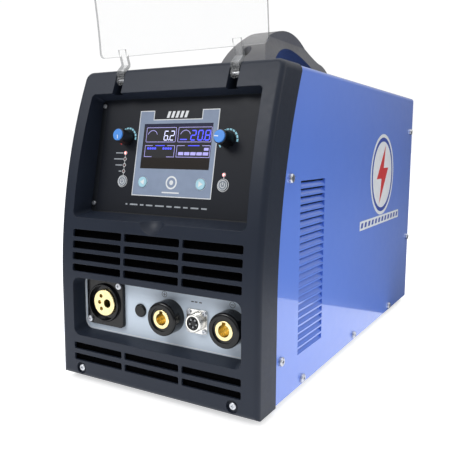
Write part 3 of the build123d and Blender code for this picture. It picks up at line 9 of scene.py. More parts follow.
import bmesh
import bpy
from mathutils import Matrix, Vector


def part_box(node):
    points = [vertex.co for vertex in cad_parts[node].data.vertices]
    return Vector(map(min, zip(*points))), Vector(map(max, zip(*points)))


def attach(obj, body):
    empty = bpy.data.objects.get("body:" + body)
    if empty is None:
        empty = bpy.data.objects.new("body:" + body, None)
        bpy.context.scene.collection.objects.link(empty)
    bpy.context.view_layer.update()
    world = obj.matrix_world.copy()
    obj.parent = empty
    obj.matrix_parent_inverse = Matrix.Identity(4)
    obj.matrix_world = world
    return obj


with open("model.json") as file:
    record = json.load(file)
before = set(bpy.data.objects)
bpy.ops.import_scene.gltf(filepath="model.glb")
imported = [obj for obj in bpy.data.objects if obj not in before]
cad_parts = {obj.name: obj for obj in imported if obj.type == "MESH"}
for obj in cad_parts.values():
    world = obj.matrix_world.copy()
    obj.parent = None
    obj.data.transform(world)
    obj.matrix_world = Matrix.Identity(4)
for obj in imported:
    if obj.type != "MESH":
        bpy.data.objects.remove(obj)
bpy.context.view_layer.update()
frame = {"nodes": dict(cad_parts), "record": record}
NODES = frame["nodes"]
MM = 0.001
HOUSING = "housing"


# ---- camera, light and floor --------------------------------------------------------------------
CAMERA_AT = (0.37959, -0.79283, 0.27572)
CAMERA_TURN = (30.479, 7.557, 0.238)
LENS_MM, SENSOR_MM = 47.02, 36.0
NEAR_CLIP, FAR_CLIP = 0.01, 50.0
BACKDROP_STRENGTH = 1.02
SKY_LOW, SKY_HIGH = 0.14, 0.9
SKY_TOP_Z = 0.7
FLOOR_HALF = 30.0
FLOOR_GLOW = 0.58
BRIGHT_FLOOR_LOW, BRIGHT_FLOOR_HIGH = (-0.8, -0.8), (0.8, 0.17)
DIM_FLOOR = (0.19, 0.2, 0.22, 1.0)


def add_camera():
    """The photograph's viewpoint: in front and to the right, below the height of the case's top.

    The turn is in degrees: yaw, then the pitch down, then the roll."""
    yaw, pitch, roll = (math.radians(angle) for angle in CAMERA_TURN)
    data = bpy.data.cameras.new("camera")
    data.lens = LENS_MM
    data.sensor_width = SENSOR_MM
    data.clip_start = NEAR_CLIP
    data.clip_end = FAR_CLIP
    camera = bpy.data.objects.new("camera", data)
    turn = (
        Matrix.Rotation(yaw, 4, "Z")
        @ Matrix.Rotation(math.radians(90.0) - pitch, 4, "X")
        @ Matrix.Rotation(roll, 4, "Z")
    )
    camera.matrix_world = Matrix.Translation(CAMERA_AT) @ turn
    bpy.context.scene.collection.objects.link(camera)
    bpy.context.scene.camera = camera


def add_area_light(name, place, target, size, power):
    """A soft white rectangular lamp that faces a point."""
    data = bpy.data.lights.new(name, "AREA")
    data.shape = "RECTANGLE"
    data.size, data.size_y = size
    data.energy = power
    lamp = bpy.data.objects.new(name, data)
    direction = Vector(target) - Vector(place)
    lamp.location = place
    lamp.rotation_euler = direction.to_track_quat("-Z", "Y").to_euler()
    bpy.context.scene.collection.objects.link(lamp)


def add_world():
    """White behind the machine, while the sky it reflects is bright overhead and dim low down."""
    world = bpy.data.worlds.new("studio")
    world.use_nodes = True
    nodes, links = world.node_tree.nodes, world.node_tree.links
    background = nodes["Background"]
    background.inputs["Color"].default_value = (1.0, 1.0, 1.0, 1.0)
    direction = nodes.new("ShaderNodeTexCoord").outputs["Generated"]
    split = nodes.new("ShaderNodeSeparateXYZ")
    links.new(direction, split.inputs[0])
    sky = nodes.new("ShaderNodeMapRange")
    sky.inputs["From Min"].default_value = 0.0
    sky.inputs["From Max"].default_value = SKY_TOP_Z
    sky.inputs["To Min"].default_value = SKY_LOW
    sky.inputs["To Max"].default_value = SKY_HIGH
    links.new(split.outputs["Z"], sky.inputs["Value"])
    strength = nodes.new("ShaderNodeMix")
    strength.data_type = "FLOAT"
    links.new(nodes.new("ShaderNodeLightPath").outputs["Is Camera Ray"], strength.inputs["Factor"])
    links.new(sky.outputs["Result"], strength.inputs["A"])
    strength.inputs["B"].default_value = BACKDROP_STRENGTH
    links.new(strength.outputs["Result"], background.inputs["Strength"])
    bpy.context.scene.world = world
    bpy.context.scene.view_settings.view_transform = "Standard"


def add_floor():
    """A plain white table top under the machine."""
    far = FLOOR_HALF
    mesh = bpy.data.meshes.new("floor")
    corners = [(-far, -far, 0.0), (far, -far, 0.0), (far, far, 0.0), (-far, far, 0.0)]
    mesh.from_pydata(corners, [], [(0, 1, 2, 3)])
    floor = bpy.data.objects.new("floor", mesh)
    bpy.context.scene.collection.objects.link(floor)
    white = surface(
        "floor", (0.8, 0.8, 0.8), 0.6, tone=0.01, grain=0.02, edge=0.0,
        emission=((1.0, 1.0, 1.0), FLOOR_GLOW),
    )
    reflect_less(white, BRIGHT_FLOOR_LOW, BRIGHT_FLOOR_HIGH)
    mesh.materials.append(white)


def reflect_less(material, low, high):
    """Outside a rectangle of the floor, reflections show it dim, like the end of a table."""
    nodes, links = material.node_tree.nodes, material.node_tree.links
    split = nodes.new("ShaderNodeSeparateXYZ")
    links.new(nodes.new("ShaderNodeNewGeometry").outputs["Position"], split.inputs[0])

    def math_node(operation, first, second, clamp=False):
        node = nodes.new("ShaderNodeMath")
        node.operation = operation
        node.use_clamp = clamp
        for socket, value in zip(node.inputs, (first, second)):
            if isinstance(value, bpy.types.NodeSocket):
                links.new(value, socket)
            else:
                socket.default_value = value
        return node.outputs[0]

    outside = 0.0
    for axis, start, end in (("X", low[0], high[0]), ("Y", low[1], high[1])):
        outside = math_node("MAXIMUM", outside, math_node("LESS_THAN", split.outputs[axis], start))
        outside = math_node("MAXIMUM", outside, math_node("GREATER_THAN", split.outputs[axis], end))
    seen = nodes.new("ShaderNodeLightPath").outputs["Is Camera Ray"]
    dim = nodes.new("ShaderNodeBsdfDiffuse")
    dim.inputs["Color"].default_value = DIM_FLOOR
    mix = nodes.new("ShaderNodeMixShader")
    links.new(math_node("SUBTRACT", outside, seen, clamp=True), mix.inputs[0])
    links.new(nodes["Principled BSDF"].outputs[0], mix.inputs[1])
    links.new(dim.outputs[0], mix.inputs[2])
    links.new(mix.outputs[0], nodes["Material Output"].inputs["Surface"])


# ---- materials ----------------------------------------------------------------------------------
NOISE_LOW, NOISE_HIGH = 0.3, 0.7
FINE_SHARE = 0.08
COAT_ROUGHNESS = 0.05
BUMP_STRENGTH = 0.7
BEVEL_SAMPLES = 4
FACE_DOT, CUT_EDGE_DOT = 0.85, 0.4
FLAT_DOT, WORN_DOT = 0.985, 0.86
WEAR_PATCH, WEAR_NOISE, LEAST_WEAR = 6.0, (0.42, 0.62), 0.15
DUST_COLOUR, DUST_NOISE, LEAST_DUST = (0.55, 0.53, 0.5), (0.35, 0.65), 0.4
DUST_SLOPE = 0.6


def surface(
    name,
    colour,
    rough,
    metal=0.0,
    tone=0.08,
    tone_size=70.0,
    rough_change=0.06,
    grain=0.03,
    grain_size=0.6,
    leather=False,
    edge=0.5,
    wear=0.0,
    wear_and_edge_shade_colour=(0.5, 0.5, 0.5),
    coat=0.0,
    brushed=None,
    specular=0.5,
    dust=0.0,
    emission=None,
    alpha=1.0,
    edge_alpha=None,
    sheet_normal=None,
):
    """A procedural finish, with its sizes in millimetres.

    tone_size is the size of the slow colour change, grain_size that of the surface texture, grain
    its height, and edge the radius of the rounding that catches the light.
    A clear sheet gives its sheet_normal: its cut edges are painted darker and less clear than its
    faces, a painted shade for how light bends and reflects at a clear edge. The wear colour is that
    of rubbed edges; on a clear sheet it is the painted shade of its cut edges.
    """
    made = bpy.data.materials.new(name)
    made.use_nodes = True
    nodes, links = made.node_tree.nodes, made.node_tree.links
    shader = nodes["Principled BSDF"]
    shader.inputs["Metallic"].default_value = metal
    shader.inputs["Coat Weight"].default_value = coat
    shader.inputs["Coat Roughness"].default_value = COAT_ROUGHNESS
    shader.inputs["Specular IOR Level"].default_value = specular
    coords = nodes.new("ShaderNodeTexCoord").outputs["Object"]

    def noise(size, detail, stretch=None):
        texture = nodes.new("ShaderNodeTexNoise")
        texture.inputs["Scale"].default_value = 1.0 / (size * MM)
        texture.inputs["Detail"].default_value = detail
        if stretch:
            mapping = nodes.new("ShaderNodeMapping")
            mapping.inputs["Scale"].default_value = stretch
            links.new(coords, mapping.inputs["Vector"])
            links.new(mapping.outputs["Vector"], texture.inputs["Vector"])
        else:
            links.new(coords, texture.inputs["Vector"])
        return texture.outputs["Fac"]

    def ranged(value, low, high, out_low, out_high):
        node = nodes.new("ShaderNodeMapRange")
        node.inputs["From Min"].default_value = low
        node.inputs["From Max"].default_value = high
        node.inputs["To Min"].default_value = out_low
        node.inputs["To Max"].default_value = out_high
        links.new(value, node.inputs["Value"])
        return node.outputs["Result"]

    def mixed(factor, first, second):
        node = nodes.new("ShaderNodeMix")
        node.data_type = "RGBA"
        factor_in, colour_a, colour_b = 0, 6, 7
        links.new(factor, node.inputs[factor_in])
        for socket, value in ((node.inputs[colour_a], first), (node.inputs[colour_b], second)):
            if isinstance(value, bpy.types.NodeSocket):
                links.new(value, socket)
            else:
                socket.default_value = (*value, 1.0)
        colour_out = 2
        return node.outputs[colour_out]

    def product(first, second):
        node = nodes.new("ShaderNodeMath")
        node.operation = "MULTIPLY"
        links.new(first, node.inputs[0])
        links.new(second, node.inputs[1])
        return node.outputs[0]

    slow = noise(tone_size, 4.0)
    dark = tuple(c * (1.0 - tone) for c in colour)
    light = tuple(min(c * (1.0 + tone), 1.0) for c in colour)
    base = mixed(ranged(slow, NOISE_LOW, NOISE_HIGH, 0.0, 1.0), dark, light)
    fine = noise(tone_size * FINE_SHARE, 6.0)
    roughness = ranged(fine, NOISE_LOW, NOISE_HIGH, rough - rough_change, rough + rough_change)

    if leather:
        texture = nodes.new("ShaderNodeTexVoronoi")
        texture.feature = "SMOOTH_F1"
        texture.inputs["Scale"].default_value = 1.0 / (grain_size * MM)
        links.new(coords, texture.inputs["Vector"])
        height = texture.outputs["Distance"]
    elif brushed:
        height = noise(grain_size, 3.0, stretch=brushed)
    else:
        height = noise(grain_size, 3.0)
    bump = nodes.new("ShaderNodeBump")
    bump.inputs["Strength"].default_value = BUMP_STRENGTH
    bump.inputs["Distance"].default_value = grain * MM
    links.new(height, bump.inputs["Height"])
    if edge:
        rounded = nodes.new("ShaderNodeBevel")
        rounded.samples = BEVEL_SAMPLES
        rounded.inputs["Radius"].default_value = edge * MM
        links.new(rounded.outputs["Normal"], bump.inputs["Normal"])
    links.new(bump.outputs["Normal"], shader.inputs["Normal"])

    # A clear sheet's cut edges are painted darker and more opaque: painted shade for how light
    # bends and reflects at its edges.
    if sheet_normal:
        dot = nodes.new("ShaderNodeVectorMath")
        dot.operation = "DOT_PRODUCT"
        links.new(nodes.new("ShaderNodeTexCoord").outputs["Normal"], dot.inputs[0])
        dot.inputs[1].default_value = sheet_normal
        size = nodes.new("ShaderNodeMath")
        size.operation = "ABSOLUTE"
        links.new(dot.outputs["Value"], size.inputs[0])
        edges = ranged(size.outputs[0], FACE_DOT, CUT_EDGE_DOT, 0.0, 1.0)
        base = mixed(edges, base, wear_and_edge_shade_colour)
    elif edge and wear:
        flat = nodes.new("ShaderNodeNewGeometry").outputs["Normal"]
        dot = nodes.new("ShaderNodeVectorMath")
        dot.operation = "DOT_PRODUCT"
        links.new(rounded.outputs["Normal"], dot.inputs[0])
        links.new(flat, dot.inputs[1])
        edges = ranged(dot.outputs["Value"], FLAT_DOT, WORN_DOT, 0.0, 1.0)
    if wear:
        patches = ranged(noise(WEAR_PATCH, 5.0), *WEAR_NOISE, LEAST_WEAR, 1.0)
        worn = product(edges, patches)
        scaled = ranged(worn, 0.0, 1.0, 0.0, wear)
        base = mixed(scaled, base, wear_and_edge_shade_colour)
    if dust:
        lying = nodes.new("ShaderNodeSeparateXYZ")
        links.new(nodes.new("ShaderNodeNewGeometry").outputs["Normal"], lying.inputs[0])
        level = ranged(lying.outputs["Z"], DUST_SLOPE, 1.0, 0.0, dust)
        settled = product(level, ranged(fine, *DUST_NOISE, LEAST_DUST, 1.0))
        base = mixed(settled, base, DUST_COLOUR)
    links.new(base, shader.inputs["Base Color"])
    links.new(roughness, shader.inputs["Roughness"])
    if emission:
        shader.inputs["Emission Color"].default_value = (*emission[0], 1.0)
        shader.inputs["Emission Strength"].default_value = emission[1]
    if edge_alpha is not None:
        links.new(ranged(edges, 0.0, 1.0, alpha, edge_alpha), shader.inputs["Alpha"])
    else:
        shader.inputs["Alpha"].default_value = alpha
    return made


def printed(name, colour, rough=0.45, glow=0.0):
    """Screen-printed ink, or a lit part of the display."""
    return surface(
        name,
        colour,
        rough,
        tone=0.05,
        tone_size=12.0,
        rough_change=0.05,
        grain=0.01,
        grain_size=0.3,
        edge=0.0,
        emission=(colour, glow) if glow else None,
    )


LOOKS = {
    "bezel_plastic": surface(
        "bezel_plastic", (0.0155, 0.021, 0.035), 0.42, tone=0.06, grain=0.035, grain_size=0.8,
        edge=0.9, wear=0.2, wear_and_edge_shade_colour=(0.06, 0.066, 0.08), rough_change=0.03, specular=0.24,
    ),
    "blue_paint": surface(
        "blue_paint", (0.105, 0.232, 0.8), 0.32, tone=0.03, tone_size=160.0, grain=0.003,
        grain_size=1.6, edge=0.0, coat=1.0, rough_change=0.03, specular=0.3,
    ),
    # The clear sheet's cut edges get a painted shade of dark grey and are less clear.
    "clear_sheet": surface(
        "clear_sheet", (0.93, 0.94, 0.95), 0.06, tone=0.02, grain=0.003, grain_size=4.0,
        edge=0.7, rough_change=0.03, wear_and_edge_shade_colour=(0.2, 0.21, 0.22), alpha=0.09, edge_alpha=0.62,
        sheet_normal=(0.0, 0.984, 0.179),
    ),
    "panel_plastic": surface("panel_plastic", (0.007, 0.009, 0.013), 0.4, grain=0.03, edge=0.5),
    "panel_film": surface(
        "panel_film", (0.009, 0.011, 0.017), 0.42, tone=0.06, grain=0.015, grain_size=0.35,
        edge=0.3, rough_change=0.03, specular=0.22,
    ),
    "screen": surface(
        "screen", (0.004, 0.004, 0.008), 0.09, tone=0.2, grain=0.002, grain_size=3.0, edge=0.2,
        rough_change=0.02, coat=1.0,
    ),
    "lens": surface(
        "lens", (0.17, 0.1, 0.1), 0.2, tone=0.1, tone_size=3.0, edge=0.2, rough_change=0.04,
        coat=0.6,
    ),
    "knob_black": surface(
        "knob_black", (0.005, 0.005, 0.007), 0.36, grain=0.03, grain_size=0.4, edge=0.4, wear=0.3,
        wear_and_edge_shade_colour=(0.06, 0.06, 0.065),
    ),
    "cap_blue": surface(
        "cap_blue", (0.06, 0.27, 0.78), 0.32, tone=0.06, tone_size=8.0, grain=0.01, edge=0.3,
        coat=0.3,
    ),
    "key_cyan": surface(
        "key_cyan", (0.4, 0.68, 0.8), 0.4, tone=0.08, tone_size=8.0, grain=0.01, edge=0.3,
    ),
    "key_grey": surface(
        "key_grey", (0.22, 0.25, 0.29), 0.45, tone=0.1, tone_size=8.0, grain=0.02, edge=0.3,
    ),
    "circuit_board": surface(
        "circuit_board", (0.01, 0.09, 0.03), 0.35, tone=0.3, tone_size=6.0, grain=0.08,
        grain_size=1.5, edge=0.2, coat=0.4,
    ),
    "plate_paint": surface(
        "plate_paint", (0.58, 0.665, 0.77), 0.42, tone=0.05, tone_size=40.0, grain=0.015,
        grain_size=0.8, edge=0.4, wear=0.2, wear_and_edge_shade_colour=(0.7, 0.72, 0.75), rough_change=0.08,
    ),
    "black_plastic": surface(
        "black_plastic", (0.004, 0.0045, 0.006), 0.17, grain=0.012, grain_size=0.7, edge=0.5,
        wear=0.15, wear_and_edge_shade_colour=(0.05, 0.05, 0.06), rough_change=0.04, specular=0.35,
    ),
    "brass": surface(
        "brass", (0.93, 0.78, 0.42), 0.24, metal=1.0, tone=0.1, tone_size=9.0, grain=0.012,
        grain_size=0.5, edge=0.35, wear=0.4, wear_and_edge_shade_colour=(0.98, 0.88, 0.6), rough_change=0.07,
    ),
    "nickel": surface(
        "nickel", (0.78, 0.77, 0.74), 0.2, metal=1.0, tone=0.08, tone_size=9.0, grain=0.015,
        grain_size=0.8, edge=0.35, rough_change=0.08,
    ),
    "zinc_screw": surface(
        "zinc_screw", (0.6, 0.62, 0.66), 0.33, metal=1.0, tone=0.15, tone_size=5.0, grain=0.03,
        grain_size=0.5, edge=0.3, wear=0.3, wear_and_edge_shade_colour=(0.8, 0.8, 0.8), rough_change=0.1,
    ),
    "steel": surface(
        "steel", (0.5, 0.51, 0.53), 0.3, metal=1.0, tone=0.1, tone_size=15.0, grain=0.02,
        grain_size=0.6, brushed=(1.0, 6.0, 6.0), edge=0.3, rough_change=0.1,
    ),
    "grey_paint": surface(
        "grey_paint", (0.12, 0.135, 0.16), 0.45, tone=0.07, tone_size=120.0, grain=0.05,
        grain_size=1.1, edge=0.5, wear=0.35, wear_and_edge_shade_colour=(0.4, 0.41, 0.42), dust=0.1,
    ),
    "foot_rubber": surface(
        "foot_rubber", (0.012, 0.012, 0.013), 0.75, tone=0.25, tone_size=9.0, grain=0.06,
        grain_size=0.9, edge=0.6, wear=0.3, wear_and_edge_shade_colour=(0.07, 0.07, 0.07),
    ),
    "handle_plastic": surface(
        "handle_plastic", (0.12, 0.12, 0.122), 0.5, tone=0.12, grain=0.14, grain_size=0.9,
        leather=True, edge=0.9, wear=0.25, wear_and_edge_shade_colour=(0.12, 0.12, 0.12), rough_change=0.06,
        dust=0.06,
    ),
    "fan_black": surface("fan_black", (0.012, 0.013, 0.015), 0.4, grain=0.03, edge=0.5, dust=0.12),
    "aluminium": surface(
        "aluminium", (0.66, 0.67, 0.69), 0.36, metal=1.0, tone=0.08, tone_size=25.0, grain=0.03,
        grain_size=0.7, brushed=(1.0, 0.15, 6.0), edge=0.4, rough_change=0.1,
    ),
    "iron_core": surface(
        "iron_core", (0.09, 0.05, 0.025), 0.35, tone=0.3, tone_size=12.0, grain=0.12,
        grain_size=1.2, edge=0.5, coat=0.5,
    ),
    "hub_grey": surface(
        "hub_grey", (0.07, 0.075, 0.085), 0.5, tone=0.1, grain=0.05, grain_size=0.8, edge=0.6,
        wear=0.3, wear_and_edge_shade_colour=(0.2, 0.2, 0.21),
    ),
}
INK_WHITE = printed("ink_white", (0.78, 0.8, 0.82))
INK_DIM = printed("ink_dim", (0.38, 0.41, 0.45))
INK_PALE = printed("ink_pale", (0.23, 0.29, 0.41), 0.5)
INK_CYAN = printed("ink_cyan", (0.3, 0.66, 0.8))
INK_RED = printed("ink_red", (0.62, 0.03, 0.03))
INK_BLACK = printed("ink_black", (0.02, 0.02, 0.025))
INK_BLUE = printed("ink_blue", (0.03, 0.07, 0.36))
LIT_WHITE = printed("lit_white", (0.68, 0.7, 1.0), glow=0.6)
LIT_LILAC = printed("lit_lilac", (0.36, 0.33, 0.72), glow=0.45)
LIT_BLUE = printed("lit_blue", (0.06, 0.07, 0.85), glow=0.9)
LIT_RED = printed("lit_red", (1.0, 0.16, 0.16), glow=2.2)
LIT_CORE = printed("lit_core", (1.0, 0.75, 0.72), glow=2.0)
SCREEN_WARM = printed("screen_warm", (0.012, 0.008, 0.006), 0.15)
SCREEN_COOL = printed("screen_cool", (0.012, 0.014, 0.05), 0.15)
# Painted shade: a near-black, barely shiny finish for the sheet behind the front vents, which
# stands in for the dark inside of the case.
VENT_SHADE_SHEET = surface(
    "vent_shade_sheet", (0.0015, 0.0015, 0.002), 0.95, tone=0.4, tone_size=4.0, grain=0.8, grain_size=2.4,
    leather=True, edge=0.0, specular=0.02,
)
SLOT_OF = {row["node"]: row["material_slot"] for row in frame["record"]["subparts"]}


def dress_nodes():
    """Each CAD node takes the finish of its material slot."""
    for name, node in NODES.items():
        node.data.materials.clear()
        node.data.materials.append(LOOKS[SLOT_OF[name]])


# ---- thin shapes on a surface -------------------------------------------------------------------
PANEL_TILT = math.radians(11.7)
FILM_THICKNESS = 0.4 * MM
FILM_START = 6.5 * MM
PANEL_UP = Vector((0.0, math.sin(PANEL_TILT), math.cos(PANEL_TILT)))
PANEL_OUT = Vector((0.0, -math.cos(PANEL_TILT), math.sin(PANEL_TILT)))
film_low = Vector(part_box("panel_overlay")[0])
film_foot = Vector((0.0, film_low.y + FILM_THICKNESS * math.cos(PANEL_TILT), film_low.z))
PANEL_ORIGIN = film_foot - FILM_START * PANEL_UP
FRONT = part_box("front_bezel")[0][1]
PLATE_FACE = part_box("connector_plate")[0][1]
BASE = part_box("case_cover")[0][2]
SIDE_FACE = 130.0 * MM
DEGREES_PER_STEP = 6
DISC_STEPS = 48
CORNER_STEPS = 6


def on_panel(across, up, out):
    """A point of the sloping control panel: millimetres across, up the slope and out of it."""
    return PANEL_ORIGIN + MM * (Vector((across, 0.0, 0.0)) + up * PANEL_UP + out * PANEL_OUT)


def on_plate(across, up, out):
    """A point of the connector plate."""
    return Vector((across * MM, PLATE_FACE - out * MM, BASE + up * MM))


def on_side(along, up, out):
    """A point of the cover's right side."""
    return Vector((SIDE_FACE + out * MM, FRONT + along * MM, BASE + up * MM))


class Shapes:
    """Flat shapes of one thickness on a surface, gathered into one piece."""

    def __init__(self, place, low, high):
        self.place, self.low, self.high = place, low, high
        self.mesh = bmesh.new()

    def ring_of_points(self, points, height):
        return [self.mesh.verts.new(self.place(u, v, height)) for u, v in points]

    def polygon(self, points):
        under = self.ring_of_points(points, self.low)
        over = self.ring_of_points(points, self.high)
        self.mesh.faces.new(over)
        self.mesh.faces.new(under[::-1])
        for i in range(len(points)):
            j = (i + 1) % len(points)
            self.mesh.faces.new((under[i], under[j], over[j], over[i]))

    def band(self, inner, outer, closed=True):
        """The strip between two rows of points."""
        rows = [
            self.ring_of_points(points, height)
            for points, height in (
                (inner, self.low),
                (outer, self.low),
                (outer, self.high),
                (inner, self.high),
            )
        ]
        count = len(inner)
        for i in range(count if closed else count - 1):
            j = (i + 1) % count
            for side in range(4):
                first, second = rows[side], rows[(side + 1) % 4]
                self.mesh.faces.new((first[i], first[j], second[j], second[i]))
        if not closed:
            self.mesh.faces.new([row[0] for row in rows])
            self.mesh.faces.new([row[-1] for row in rows][::-1])

    def arc(self, centre, inner, outer, start, end, steps=None):
        """A stretch of a ring, in degrees anticlockwise from the right."""
        steps = steps or max(2, int(abs(end - start) / DEGREES_PER_STEP))
        angles = [math.radians(start + (end - start) * i / steps) for i in range(steps + 1)]
        closed = abs(end - start) >= 360.0
        if closed:
            angles = angles[:-1]
        rows = [
            [(centre[0] + r * math.cos(a), centre[1] + r * math.sin(a)) for a in angles]
            for r in (inner, outer)
        ]
        self.band(*rows, closed=closed)

    def disc(self, centre, radius):
        turns = [math.tau * i / DISC_STEPS for i in range(DISC_STEPS)]
        self.polygon(
            [(centre[0] + radius * math.cos(a), centre[1] + radius * math.sin(a)) for a in turns]
        )

    def bar(self, low, high, slant=0.0):
        """A rectangle between two corners; slant moves its top across."""
        (left, bottom), (right, top) = low, high
        self.polygon([(left, bottom), (right, bottom), (right + slant, top), (left + slant, top)])

    def line(self, start, end, width):
        """A straight stroke of a given width."""
        direction = (Vector(end) - Vector(start)).normalized() * (width / 2)
        side = Vector((-direction.y, direction.x))
        start, end = Vector(start), Vector(end)
        self.polygon([start - side, end - side, end + side, start + side])

    def finish(self, name, material, body=HOUSING):
        bmesh.ops.recalc_face_normals(self.mesh, faces=self.mesh.faces)
        data = bpy.data.meshes.new(name)
        self.mesh.to_mesh(data)
        self.mesh.free()
        data.materials.append(material)
        piece = bpy.data.objects.new(name, data)
        bpy.context.scene.collection.objects.link(piece)
        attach(piece, body)


def rounded_outline(low, high, radius):
    """The corner points of a rounded rectangle, anticlockwise from the lower right."""
    (left, bottom), (right, top) = low, high
    points = []
    for x, y, start in (
        (right - radius, bottom + radius, -90),
        (right - radius, top - radius, 0),
        (left + radius, top - radius, 90),
        (left + radius, bottom + radius, 180),
    ):
        for step in range(CORNER_STEPS + 1):
            turn = math.radians(start + 90 * step / CORNER_STEPS)
            points.append((x + radius * math.cos(turn), y + radius * math.sin(turn)))
    return points


def outline_band(shapes, low, high, radius, width):
    """A rounded rectangular line."""
    outer = rounded_outline(low, high, radius)
    inner_low = (low[0] + width, low[1] + width)
    inner_high = (high[0] - width, high[1] - width)
    shapes.band(rounded_outline(inner_low, inner_high, radius - width), outer)


# ---- printing on the control panel --------------------------------------------------------------
FILM_TOP = 0.4
INK = 0.04
OUTLINE = 0.9
THIN_LINE = 0.5
KNOBS = [(-67.0, 92.5), (67.5, 90.0)]
FRAME_SHAPE = [
    (-52.0, 26.4), (54.4, 26.4), (54.4, 123.6), (32.5, 123.6), (32.5, 113.4),
    (-31.5, 113.4), (-31.5, 123.6), (-52.0, 123.6),
]
KEY_ROW = 42.0
ROUND_KEYS_X = 67.5
ARROW_KEYS = (-37.8, 39.9)
LAMP_ROWS = (53.6, 60.7, 67.8, 74.9)
LAMP_DASHES = (4.0, 10.0, 13.0, 11.0)
RIGHT_LAMP_UP = 53.0
KEY_RING_TOP = 48.6
DIAL_MARKS = 12
SCREEN_HALF, SCREEN_FOOT, SCREEN_HEAD = 46.0, 57.5, 108.5
SCREEN_SHIFT = 1.9
SCREEN_LOW = (SCREEN_SHIFT - SCREEN_HALF, SCREEN_FOOT)
SCREEN_HIGH = (SCREEN_SHIFT + SCREEN_HALF, SCREEN_HEAD)


def on_screen(across, up, out):
    """A point of the display, measured from the middle of the window."""
    return on_panel(across + SCREEN_SHIFT, up, out)


def inset(points, distance):
    """The same outline moved inwards; its corners are all square."""
    moved = []
    count = len(points)
    for i, corner in enumerate(points):
        before, after = Vector(points[i - 1]), Vector(points[(i + 1) % count])
        corner = Vector(corner)
        into, out = (corner - before).normalized(), (after - corner).normalized()
        inwards = Vector((-into.y, into.x)) + Vector((-out.y, out.x))
        moved.append(tuple(corner + distance * inwards))
    return moved


def print_frame():
    """The pale field round the display, with its white outline and the window left free."""
    line = Shapes(on_panel, FILM_TOP, FILM_TOP + INK)
    inner = inset(FRAME_SHAPE, OUTLINE)
    line.band(inner, FRAME_SHAPE)
    line.finish("frame_outline", INK_WHITE)
    field = Shapes(on_panel, FILM_TOP, FILM_TOP + INK)
    left, bottom = SCREEN_LOW
    right, top = SCREEN_HIGH
    low, high = inner[0][1], inner[4][1]
    field.bar((inner[0][0], low), (inner[1][0], bottom))
    field.bar((inner[0][0], bottom), (left, top))
    field.bar((right, bottom), (inner[1][0], top))
    field.bar((inner[0][0], top), (inner[1][0], high))
    field.bar((inner[0][0], high), (inner[5][0], inner[7][1]))
    field.bar((inner[4][0], high), (inner[1][0], inner[2][1]))
    field.finish("frame_field", INK_PALE)


def print_dials():
    """The arc of marks round each knob, which grow clockwise."""
    marks = Shapes(on_panel, FILM_TOP, FILM_TOP + INK)
    reds = Shapes(on_panel, FILM_TOP, FILM_TOP + INK)
    first_angle, pitch, length = 225.0, 20.0, 15.0
    inner, outer, growth = 10.4, 11.8, 0.8
    for place in KNOBS:
        for step in range(DIAL_MARKS):
            start = first_angle - step * pitch
            shapes = reds if place[0] < 0 and step == 0 else marks
            reach = outer + growth * step / (DIAL_MARKS - 1)
            shapes.arc(place, inner, reach, start - length, start, 3)
    marks.finish("dial_marks", INK_CYAN)
    reds.finish("dial_start_mark", INK_RED)


def print_lamp_lines():
    """Thin lines that join the lamps to their keys, with a plain dash beside each lamp."""
    lines = Shapes(on_panel, FILM_TOP, FILM_TOP + INK)
    lines.line((-ROUND_KEYS_X, KEY_RING_TOP), (-ROUND_KEYS_X, LAMP_ROWS[-1]), THIN_LINE)
    lines.line((ROUND_KEYS_X, KEY_RING_TOP), (ROUND_KEYS_X, RIGHT_LAMP_UP), THIN_LINE)
    for x in (-ROUND_KEYS_X, ROUND_KEYS_X):
        lines.arc((x, KEY_ROW), 6.4, 6.9, 0, 360)
    for up in LAMP_ROWS:
        lines.arc((-ROUND_KEYS_X, up), 1.7, 2.2, 0, 360)
    lines.arc((ROUND_KEYS_X, RIGHT_LAMP_UP), 1.7, 2.2, 0, 360)
    for x in ARROW_KEYS:
        lines.arc((x, KEY_ROW), 6.4, 6.8, 0, 360)
    lines.finish("lamp_lines", INK_WHITE)
    dashes = Shapes(on_panel, FILM_TOP, FILM_TOP + INK)
    end, half_height = -70.8, 0.6
    for up, length in zip(LAMP_ROWS, LAMP_DASHES):
        dashes.bar((end - length, up - half_height), (end, up + half_height))
    dashes.finish("lamp_dashes", INK_DIM)


def print_symbols():
    """The plain spot symbol between the arrow keys, the stripes above the display and the row of
    dashes at the panel's foot."""
    symbol = Shapes(on_panel, FILM_TOP + INK, FILM_TOP + 2 * INK)
    centre = (1.5, 42.5)
    symbol.arc(centre, 5.6, 7.4, 0, 360)
    symbol.disc(centre, 2.6)
    symbol.bar((-10.0, 30.6), (13.0, 32.0))
    symbol.finish("spot_symbol", INK_WHITE)
    stripes = Shapes(on_panel, FILM_TOP, FILM_TOP + INK)
    pitch = 5.9
    for i in range(5):
        stripes.bar((-14.5 + pitch * i, 115.0), (-10.9 + pitch * i, 122.4), slant=2.0)
    stripes.finish("title_stripes", INK_WHITE)
    foot = Shapes(on_panel, FILM_TOP, FILM_TOP + INK)
    across, low, high, gap = -59.0, 15.2, 16.8, 3.6
    for length in (2.6, 11.0, 5.0, 9.0, 12.0, 7.0, 8.0, 6.0, 10.0, 7.0):
        foot.bar((across, low), (across + length, high))
        across += length + gap
    foot.finish("foot_dashes", INK_DIM)


SEGMENTS = {"0": "abcdef", "2": "abged", "6": "afedcg", "8": "abcdefg"}
SEGMENT_GAP = 0.35
DIGIT_SLANT = 0.08


